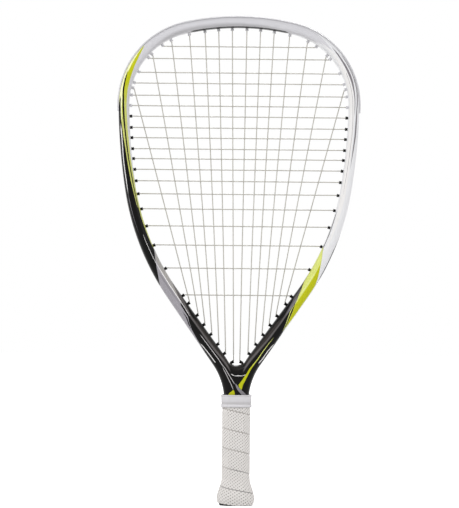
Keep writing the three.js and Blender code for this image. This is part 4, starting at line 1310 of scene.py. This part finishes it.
# Each row is a name, a node, what the node does and its values. A word among the values is
# a size that the tree is given, or the name of an earlier row.
WINDING = (
    ("strip width", SUM, "MULTIPLY", "Cell", "Rows"),
    ("strip length", SUM, "MULTIPLY", "Cell", "Columns"),
    ("first to last row", SUM, "SUBTRACT", "strip width", "Cell"),
    ("first to last column", SUM, "SUBTRACT", "strip length", "Cell"),
    ("back columns", SUM, "MULTIPLY_ADD", "Columns", 2.0, 1.0),
    ("back rows", SUM, "MULTIPLY_ADD", "Rows", 2.0, 1.0),
    ("middle along", SUM, "DIVIDE", "strip length", 2.0),
    ("middle across", SUM, "DIVIDE", "strip width", 2.0),
    ("along", SUM, "ADD", "flat x", "middle along"),
    ("across", SUM, "ADD", "flat y", "middle across"),
    ("turns", SUM, "DIVIDE", "along", "Turn Length"),
    ("share of turn", SUM, "FRACT", "turns"),
    ("seam", SUM, "MULTIPLY_ADD", "turns", "Pitch", "Start"),
    ("height", SUM, "ADD", "seam", "across"),
    ("from upper edge", SUM, "SUBTRACT", "strip width", "across"),
    ("from edge", SUM, "MINIMUM", "across", "from upper edge"),
    ("thinned width", SUM, "MULTIPLY", "Cell", 0.55),
    ("full face", RANGE, "SMOOTHSTEP", "from edge", 0.0, "thinned width", "Edge", "Thickness"),
    ("face", SUM, "ADD", "full face", "flat z"),
    ("face or back", SUM, "MULTIPLY", "lifted", "face"),
    ("flare foot", SUM, "SUBTRACT", "Flare Peak", 1 * MM),
    ("swell", RANGE, "SMOOTHSTEP", "height", "flare foot", "Flare Top", "Flare", 0.0),
    ("share up", SUM, "DIVIDE", "height", "Flare Peak"),
    ("share down", SUM, "SUBTRACT", 1.0, "share up"),
    ("share of heel", SUM, "MAXIMUM", "share down", 0.0),
    ("heel curve", SUM, "POWER", "share of heel", 2.0),
    ("drawn in at heel", SUM, "MULTIPLY", "Heel", "heel curve"),
    ("outside", SUM, "SUBTRACT", "swell", "drawn in at heel"),
    ("inside", SUM, "SUBTRACT", "outside", "Thickness"),
    ("out", SUM, "ADD", "inside", "face or back"),
    ("wide", SUM, "ADD", "Half Width", "out"),
    ("deep", SUM, "ADD", "Half Depth", "out"),
)
wind_tree, given = new_tree("wound_grip", {
    **dict.fromkeys(WIND_SIZES, "Float"), "Pattern": "Object", "Finish": "Material",
})
position = add_node(wind_tree, "GeometryNodeInputPosition")
flat = add_node(wind_tree, "ShaderNodeSeparateXYZ", {0: position})
known = {size: given[size] for size in WIND_SIZES}
known.update(zip(("flat x", "flat y", "flat z"), flat.outputs))
known["lifted"] = add_node(
    wind_tree, "GeometryNodeInputNamedAttribute", {"Name": "lifted"}, data_type="FLOAT"
)
for name, (kind, setting), does, *values in WINDING:
    sockets = {i: known.get(value, value) for i, value in enumerate(values)}
    known[name] = add_node(wind_tree, kind, sockets, **{setting: does})
print("steps in the winding:", len(WINDING))

# %% The flat strip
cell_spots = add_node(wind_tree, "GeometryNodeMeshGrid", {
    "Size X": known["first to last column"], "Size Y": known["first to last row"],
    "Vertices X": given["Columns"], "Vertices Y": given["Rows"],
})
pattern = add_node(wind_tree, "GeometryNodeObjectInfo", {"Object": given["Pattern"]})
cells = add_node(wind_tree, "GeometryNodeInstanceOnPoints", {
    "Points": cell_spots.outputs["Mesh"], "Instance": pattern.outputs["Geometry"],
})
face_sheet = add_node(wind_tree, "GeometryNodeRealizeInstances", {0: cells})
back_grid = add_node(wind_tree, "GeometryNodeMeshGrid", {
    "Size X": known["strip length"], "Size Y": known["strip width"],
    "Vertices X": known["back columns"], "Vertices Y": known["back rows"],
})
back_sheet = add_node(wind_tree, "GeometryNodeFlipFaces", {0: back_grid.outputs["Mesh"]})
neighbours = add_node(wind_tree, "GeometryNodeInputMeshEdgeNeighbors")
outer_edges = add_node(
    wind_tree, "FunctionNodeCompare", {"A": neighbours, "B": 1}, data_type="INT", operation="EQUAL"
)
wall = add_node(wind_tree, "GeometryNodeExtrudeMesh", {
    "Mesh": back_sheet, "Selection": outer_edges, "Offset": (0.0, 0.0, 0.0), "Offset Scale": 0.0,
}, mode="EDGES")
flat_strip = wind_tree.nodes.new("GeometryNodeJoinGeometry")
for sockets in (
    {"Geometry": face_sheet},
    {"Geometry": wall.outputs["Mesh"], "Selection": wall.outputs["Top"]},
):
    sheet = add_node(
        wind_tree, "GeometryNodeStoreNamedAttribute", {**sockets, "Name": "lifted", "Value": 1.0},
        data_type="FLOAT", domain="POINT",
    )
    wind_tree.links.new(sheet.outputs[0], flat_strip.inputs[0])

# %% Winding it
SAME_SPOT = 0.02
ring_spot = add_node(wind_tree, "GeometryNodeSampleCurve", {
    "Curves": given["Geometry"], "Factor": known["share of turn"],
}, mode="FACTOR")
on_ring = add_node(wind_tree, "ShaderNodeSeparateXYZ", {0: ring_spot.outputs["Position"]})
across, deep = (
    add_node(wind_tree, "ShaderNodeMath", {0: share, 1: known[reach]}, operation="MULTIPLY")
    for share, reach in zip(on_ring.outputs, ("wide", "deep"))
)
wound_spot = add_node(
    wind_tree, "ShaderNodeCombineXYZ", {0: across, 1: deep, 2: known["height"]}
)
wound = add_node(
    wind_tree, "GeometryNodeSetPosition", {"Geometry": flat_strip, "Position": wound_spot}
)
welded = add_node(
    wind_tree, "GeometryNodeMergeByDistance", {"Geometry": wound, "Distance": SAME_SPOT * MM}
)
close_tree(wind_tree, welded, given["Finish"])
print("nodes in the winding tree:", len(wind_tree.nodes))

# %% [markdown]
# The leather is polyurethane on felt: matt and slightly tacky, off-white, with a grain of
# about a millimetre. The bottoms of the punched holes are greyed as painted shade.


# %% Grip leather
def tint_over(material, amount, colour):
    """Mixes a colour over a material's own, by an amount that a node gives."""
    tree = material.node_tree
    own = tree.nodes["Principled BSDF"].inputs["Base Color"]
    mixed = add_node(
        tree, "ShaderNodeMix",
        {"Factor": amount, "A": own.links[0].from_socket, "B": linear(colour)}, data_type="RGBA",
    )
    tree.links.new(mixed.outputs[2], own)


grip_leather = mottled("perforated_synthetic_leather", "#EBE8E5", "#DEDAD7", 0.9, 0.75, 0.35)
# Painted shade: the bottoms of the punched holes are greyed.
pit_shade = add_node(grip_leather.node_tree, "ShaderNodeAttribute", attribute_name="pit")
tint_over(grip_leather, pit_shade.outputs["Fac"], "#A39C98")
print("leather nodes:", len(grip_leather.node_tree.nodes))

# %% Wind the grip
TAPE_THICKNESS, TAPE_EDGE, TAPE_PITCH, TAPE_CORNER = 1.5, 1.05, 22.3, 2.2
STRIP_ROWS, STRIP_COLUMNS = 6, 189
FIRST_SEAM, TURNS_BELOW = 18.5, 2
outline = grip_octagon(0, TAPE_CORNER)[::-1]
begin = (GRIP_HALF_WIDTH, -GRIP_HALF_DEPTH * (1 - BEVEL_SHARE))
first = min(range(len(outline)), key=lambda i: math.dist(outline[i], begin))
outline = outline[first:] + outline[:first]
steps = [math.dist(a, b) for a, b in zip(outline, outline[1:] + outline[:1])]
turn_length = sum(steps)
front_middle = next(
    travelled + abs(a[0])
    for travelled, a, b in zip(np.cumsum([0] + steps), outline, outline[1:])
    if a[0] > 0 >= b[0]
) / turn_length
host = line_through(
    "grip_outline", [(x / GRIP_HALF_WIDTH, y / GRIP_HALF_DEPTH, 0) for x, y in outline], True
)
grip_sizes = {
    "Pitch": TAPE_PITCH, "Cell": CELL, "Thickness": TAPE_THICKNESS, "Edge": TAPE_EDGE,
    "Start": FIRST_SEAM - TAPE_PITCH * (TURNS_BELOW + front_middle), "Flare": FLARE_OUT,
    "Flare Top": FLARE_TOP, "Flare Peak": FLARE_PEAK, "Heel": HEEL,
    "Half Width": GRIP_HALF_WIDTH, "Half Depth": GRIP_HALF_DEPTH, "Turn Length": turn_length,
}
grip = grow("wound_grip", host, wind_tree, {
    **{size: value * MM for size, value in grip_sizes.items()},
    "Columns": float(STRIP_COLUMNS), "Rows": float(STRIP_ROWS),
    "Pattern": punched, "Finish": grip_leather,
})
bpy.data.objects.remove(punched)
print("turns:", round(STRIP_COLUMNS * CELL / turn_length, 2), "faces:", len(grip.data.polygons))

# %% Trim the grip
CUT_LOW, CUT_KNEE, CUT_SLOPE, CUT_REACH = 0.5, -1.0, 0.13, 30


def cut_height(x):
    """Where the leather ends above the heel: level at the right, rising to the left."""
    return CUT_LOW + max(CUT_KNEE - x, 0) * CUT_SLOPE


trim = loft("trim", [
    [(x, -CUT_REACH, cut_height(x)), (x, CUT_REACH, cut_height(x)),
     (x, CUT_REACH, TAPE_TOP), (x, -CUT_REACH, TAPE_TOP)]
    for x in (-CUT_REACH, CUT_KNEE, CUT_REACH)
])
apply_boolean(grip, trim, "INTERSECT")
print("grip faces after trimming:", len(grip.data.polygons))

# %% [markdown]
# ## Butt cap and collar
# The butt cap is hard plastic, stapled on, with a hole for a wrist cord. Its skirt is under
# the leather and only its heel shows. The collar is a soft rubber sleeve with a rolled rim at
# each end that covers the end of the winding. Both are closed rows of rings, from the outside
# over the rim and back up the inside, which gives them a real wall in one go. The cap's
# mould was etched, so its black has a broad, dull highlight, and the smoother rubber catches
# a soft line of light along its rims.

# %% Butt cap
butt_plastic = mottled(
    "moulded_black_plastic", "#121213", "#0B0B0C", 0.5, 0.42, 0.2, Specular_IOR_Level=0.2
)
UNDER_TAPE = TAPE_THICKNESS + FIT
BUTT_RIM, BUTT_FLOOR, BUTT_WALL, BUTT_TOP = 1.9, 3, 1.5, 42
BUTT_CORNER, BUTT_INNER_CORNER, BUTT_SLACK = 2.0, 1.5, 0.5
SKIRT_LOW, SKIRT_RINGS = 4, 14
edge = TAPE_EDGE + FIT
# The heel, as shares of the height of the rim that shows and how far it is drawn in.
HEEL_SIDE = (
    (0, edge + 0.8), (0.05, edge + 0.4), (0.14, edge + 0.12), (0.24, edge), (0.9, edge),
    (1, edge + 0.2), (1.03, UNDER_TAPE + BUTT_SLACK),
)
# From the inside of the skirt the floor runs in to the cord hole, and back out below it
# round a shallow recess. Each entry is a radius and a height.
BUTT_UNDERSIDE = (
    (2.7, BUTT_FLOOR), (2.3, BUTT_FLOOR - 0.4), (2.3, 1.1), (2.7, 0.7), (8.6, 0.7), (9.0, 0.5),
    (9.2, 0),
)


def grip_ring(height, inset):
    return at_height(grip_octagon(flare(height) - inset, BUTT_CORNER), height)


rings = [
    [(x, y, share * (cut_height(x) - FIT)) for x, y, _ in grip_ring(share * BUTT_RIM, inset)]
    for share, inset in HEEL_SIDE
]
rings += [
    grip_ring(h, UNDER_TAPE + BUTT_SLACK)
    for h in np.linspace(SKIRT_LOW, FLARE_TOP - 1, SKIRT_RINGS)
]
rings += [grip_ring(h, UNDER_TAPE) for h in (FLARE_TOP + 1, BUTT_TOP)]
inner = grip_octagon(-UNDER_TAPE - BUTT_WALL, BUTT_INNER_CORNER)
rings += [at_height(inner, h) for h in (BUTT_TOP, BUTT_FLOOR)]
for radius, h in BUTT_UNDERSIDE:
    shares = [radius / math.hypot(x, y) for x, y in inner]
    rings.append([(x * share, y * share, h) for (x, y), share in zip(inner, shares)])
butt_cap = loft("butt_cap_shell", rings, around=True)
butt_cap.data.materials.append(butt_plastic)
print("butt cap faces:", len(butt_cap.data.polygons))


# %% Collar rubber
def paint_shade_bands(material, shade_colour, marks, low, length):
    """Paints shade over a material at some heights; each mark is a height above low and a share."""
    tree = material.node_tree
    spot = add_node(tree, "ShaderNodeTexCoord")
    upwards = add_node(tree, "ShaderNodeSeparateXYZ", {0: spot.outputs["Object"]}).outputs[2]
    share = add_node(
        tree, "ShaderNodeMapRange", {0: upwards, 1: low * MM, 2: (low + length) * MM}
    )
    amount = add_node(tree, "ShaderNodeFloatCurve", {"Value": share})
    draw_curve(amount, [(height / length, part) for height, part in marks])
    tint_over(material, amount, shade_colour)


COLLAR_LOW = COLLAR_TOP - COLLAR_LENGTH
# Painted shade: a soft grey in the hollow between the rims, most of it above the lower rim, with
# more under the top rim and along the foot of the collar.
COLLAR_PAINTED_SHADE = (
    (0, 0.6), (0.6, 0.3), (1.4, 0.05), (2.6, 0), (3.4, 0.35), (4.6, 0.6), (5.8, 0.45),
    (7.2, 0.15), (9, 0.1), (11.4, 0), (12, 0.1), (12.6, 0.45), (13.1, 0.1), (COLLAR_LENGTH, 0),
)
collar_rubber = mottled("soft_white_rubber", "#DEDCDF", "#D2D0D4", 0.8, 0.5, 0.12)
paint_shade_bands(collar_rubber, "#A6A3A3", COLLAR_PAINTED_SHADE, COLLAR_LOW, COLLAR_LENGTH)
print("collar mm: from", round(COLLAR_LOW, 1), "to", round(COLLAR_TOP, 1))

# %% Collar
COLLAR_WALL, ROLL, COLLAR_CORNER = 1.2, 0.45, 2.6
SHAFT_CORNER = 1.6
# Where the top closes in on the shaft: how far below the top, and the room round the shaft.
COLLAR_LIP = ((0.1, 1.6), (0.6, 1.1), (COLLAR_TOP - BAND_LOW, 1.1))
# The outside from the bottom up: a height and how far it stands out.
COLLAR_SIDE = (
    (0, -0.5), (0.1, 0), (0.5, 0.32), (1.2, ROLL), (2, ROLL), (2.6, 0.25), (3.1, -0.1),
    (3.6, -0.38), (4.1, -0.42), (5, -0.3), (6.2, -0.13), (8, -0.03), (12, 0), (12.2, 0.05),
    (12.6, 0.3), (13.2, ROLL), (13.8, 0.3), (14.15, -0.15), (COLLAR_LENGTH, -0.7),
)


def shaft_ring(height, clearance):
    """A ring round the shaft, which spreads above its straight part."""
    narrow = drawn_in(THROAT_END + SHAFT_TOP - height)
    spread = max(height - SHAFT_TOP, 0) ** 2 / (2 * THROAT_RADIUS)
    half_x = (SHAFT_HALF_WIDTH + spread) * (1 - narrow) + CORE_HALF_WIDTH * narrow + clearance
    half_y = HALF_DEPTH * (1 - narrow) + CORE_HALF_DEPTH * narrow + clearance
    return at_height(octagon(half_x, half_y, SHAFT_CORNER, THROAT_BEVEL_SHARE), height)


rings = [
    at_height(grip_octagon(COLLAR_WALL + out, COLLAR_CORNER), COLLAR_LOW + height)
    for height, out in COLLAR_SIDE
]
rings += [shaft_ring(COLLAR_TOP - drop, clearance) for drop, clearance in COLLAR_LIP]
rings += [at_height(grip_octagon(FIT, TAPE_CORNER), h) for h in (BAND_LOW, COLLAR_LOW + FIT)]
collar = loft("rubber_collar", rings, around=True)
collar.data.materials.append(collar_rubber)
print("collar faces:", len(collar.data.polygons))

# %% [markdown]
# ## Hidden pieces
# The foam pallets, the staples and the band of tape lie under the grip and the collar. Their
# solids have the right shape, so they stay and only get their material: dull, open foam,
# bright galvanised wire and smooth, faintly shiny vinyl.

# %% Materials of the hidden pieces
pallet_foam = mottled("polyurethane_foam", "#B9B2A4", "#A79F90", 1.5, 0.85, 0.6)
vinyl_tape = mottled("white_vinyl_tape", "#F0F0F0", "#E2E2E2", 2.0, 0.4, 0.1)
staple_steel = mottled("galvanised_steel_wire", "#B8BBC0", "#9FA3A9", 0.4, 0.35, 0.1, Metallic=0.9)
hidden = {
    "handle_pallet_front": pallet_foam, "handle_pallet_back": pallet_foam,
    "butt_staple_front": staple_steel, "butt_staple_back": staple_steel,
    "finishing_tape": vinyl_tape,
}
for node_name, material in hidden.items():
    node_mesh = frame["nodes"][node_name].data
    node_mesh.materials.clear()
    node_mesh.materials.append(material)
print("hidden pieces:", len(hidden))

# %% [markdown]
# ## Riding on the frame
# The racket has no moving part, so every piece rides on the one body. Each stands for the
# solid that it dresses, which is hidden.

# %% Ride and replace
dressed = [
    (racket_frame, "frame", "lacquer"),
    (throat_bridge, "throat_bridge", "lacquer"),
    (bumper, "bumper_guard", "white_nylon"),
    (mains, "main_string", "string"),
    (crosses, "cross_string", "string"),
    (grip, "grip_wrap", "grip_leather"),
    (butt_cap, "butt_cap", "butt_plastic"),
    (collar, "grip_collar", "collar_rubber"),
]
dressed += [(piece, node, "black_nylon") for node, piece in strips.items()]
for piece, node, slot in dressed:
    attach(piece, "root")
    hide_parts(node)
print("pieces:", len(dressed))

# %% [markdown]
# ## Studio
# A white floor and a white surround. The surround is white to the camera, in reflections and
# through anything clear, and a softer grey for the light that it sheds, so that the shapes
# keep some shade. Five soft lamps do the rest: the brightest in front is above and to the
# left, a weaker one is on the right, one stands low at each side for the edges of the tube,
# and one behind lights the back.


# %% World and floor
def seen_directly(tree):
    """1 for a ray from the camera, off a gloss or through something clear, else 0."""
    rays = add_node(tree, "ShaderNodeLightPath")
    seen = rays.outputs["Is Camera Ray"]
    for kind in ("Is Glossy Ray", "Is Transmission Ray"):
        pair = {0: seen, 1: rays.outputs[kind]}
        seen = add_node(tree, "ShaderNodeMath", pair, operation="MAXIMUM")
    return seen


SHED_LIGHT, FLOOR_GLOW = 0.36, 0.72
FLOOR_RADIUS, FLOOR_SIDES, FLOOR_DROP = 6.0, 64, -0.0003
PAPER = (0.85, 0.85, 0.85, 1)
world = bpy.data.worlds.new("white_studio")
bpy.context.scene.world = world
world.use_nodes = True
tree = world.node_tree
tree.nodes.clear()
level = add_node(tree, "ShaderNodeMapRange", {0: seen_directly(tree), 3: SHED_LIGHT, 4: 1.0})
sky = add_node(tree, "ShaderNodeBackground", {"Color": (1, 1, 1, 1), "Strength": level})
add_node(tree, "ShaderNodeOutputWorld", {0: sky})

floor_mesh = bpy.data.meshes.new("studio_floor")
floor_mesh.from_pydata(
    [(FLOOR_RADIUS * math.cos(t), FLOOR_RADIUS * math.sin(t), FLOOR_DROP)
     for t in np.linspace(0, 2 * math.pi, FLOOR_SIDES, endpoint=False)],
    [], [tuple(range(FLOOR_SIDES))],
)
floor = put("studio_floor", floor_mesh)
paper, tree, shader = new_material("white_paper_floor", Roughness=0.9)
shader.inputs["Base Color"].default_value = PAPER
shader.inputs["Specular IOR Level"].default_value = 0.1
shader.inputs["Emission Color"].default_value = (1, 1, 1, 1)
glow = add_node(
    tree, "ShaderNodeMath", {0: seen_directly(tree), 1: FLOOR_GLOW}, operation="MULTIPLY"
)
tree.links.new(glow.outputs[0], shader.inputs["Emission Strength"])
floor_mesh.materials.append(paper)
print("floor m across:", 2 * FLOOR_RADIUS)

# %% Lamps
LAMPS_AIM = Vector((0, 0, 0.3))
# Each lamp's name, place and size in metres, and power in watts.
LAMPS = (
    ("key", (-1.3, -2.6, 2.7), 1.6, 41),
    ("fill", (1.9, -2.8, 1.9), 1.4, 23),
    ("left side", (-3.0, -0.9, 0.9), 1.2, 27),
    ("right side", (3.0, -0.9, 0.9), 1.2, 18),
    ("back", (0.6, 3.2, 2.4), 1.6, 52),
)
for name, spot, size, power in LAMPS:
    lamp = bpy.data.lights.new(name, "AREA")
    lamp.size, lamp.energy = size, power
    holder = put(name, lamp)
    holder.location = spot
    holder.rotation_euler = (LAMPS_AIM - holder.location).to_track_quat("-Z", "Y").to_euler()
print("lamps:", len(LAMPS))

# %% [markdown]
# ## Camera
# The photograph is taken square on from far away, so a long lens four metres off gives the
# same flat view. A short lens near by would show more of the inside of the hoop than it does.
# The racket leans half a degree to the right in it, and the camera is turned to match.

# %% Camera
CAMERA_DISTANCE = 4.0
VIEW_HEIGHT, VIEW_MIDDLE = 0.5805, (-0.0093, 0.2868)
LEAN = math.radians(-0.52)
SENSOR = 36.0
lens = bpy.data.cameras.new("camera")
lens.sensor_width = SENSOR
lens.lens = SENSOR * CAMERA_DISTANCE / VIEW_HEIGHT
camera = put("camera", lens)
camera.location = (VIEW_MIDDLE[0], -CAMERA_DISTANCE, VIEW_MIDDLE[1])
camera.rotation_euler = (math.radians(90), LEAN, 0)
bpy.context.scene.camera = camera
bpy.context.scene.view_settings.view_transform = "Standard"
print("lens mm:", round(lens.lens, 1))

# %% Finish
bpy.context.view_layer.update()
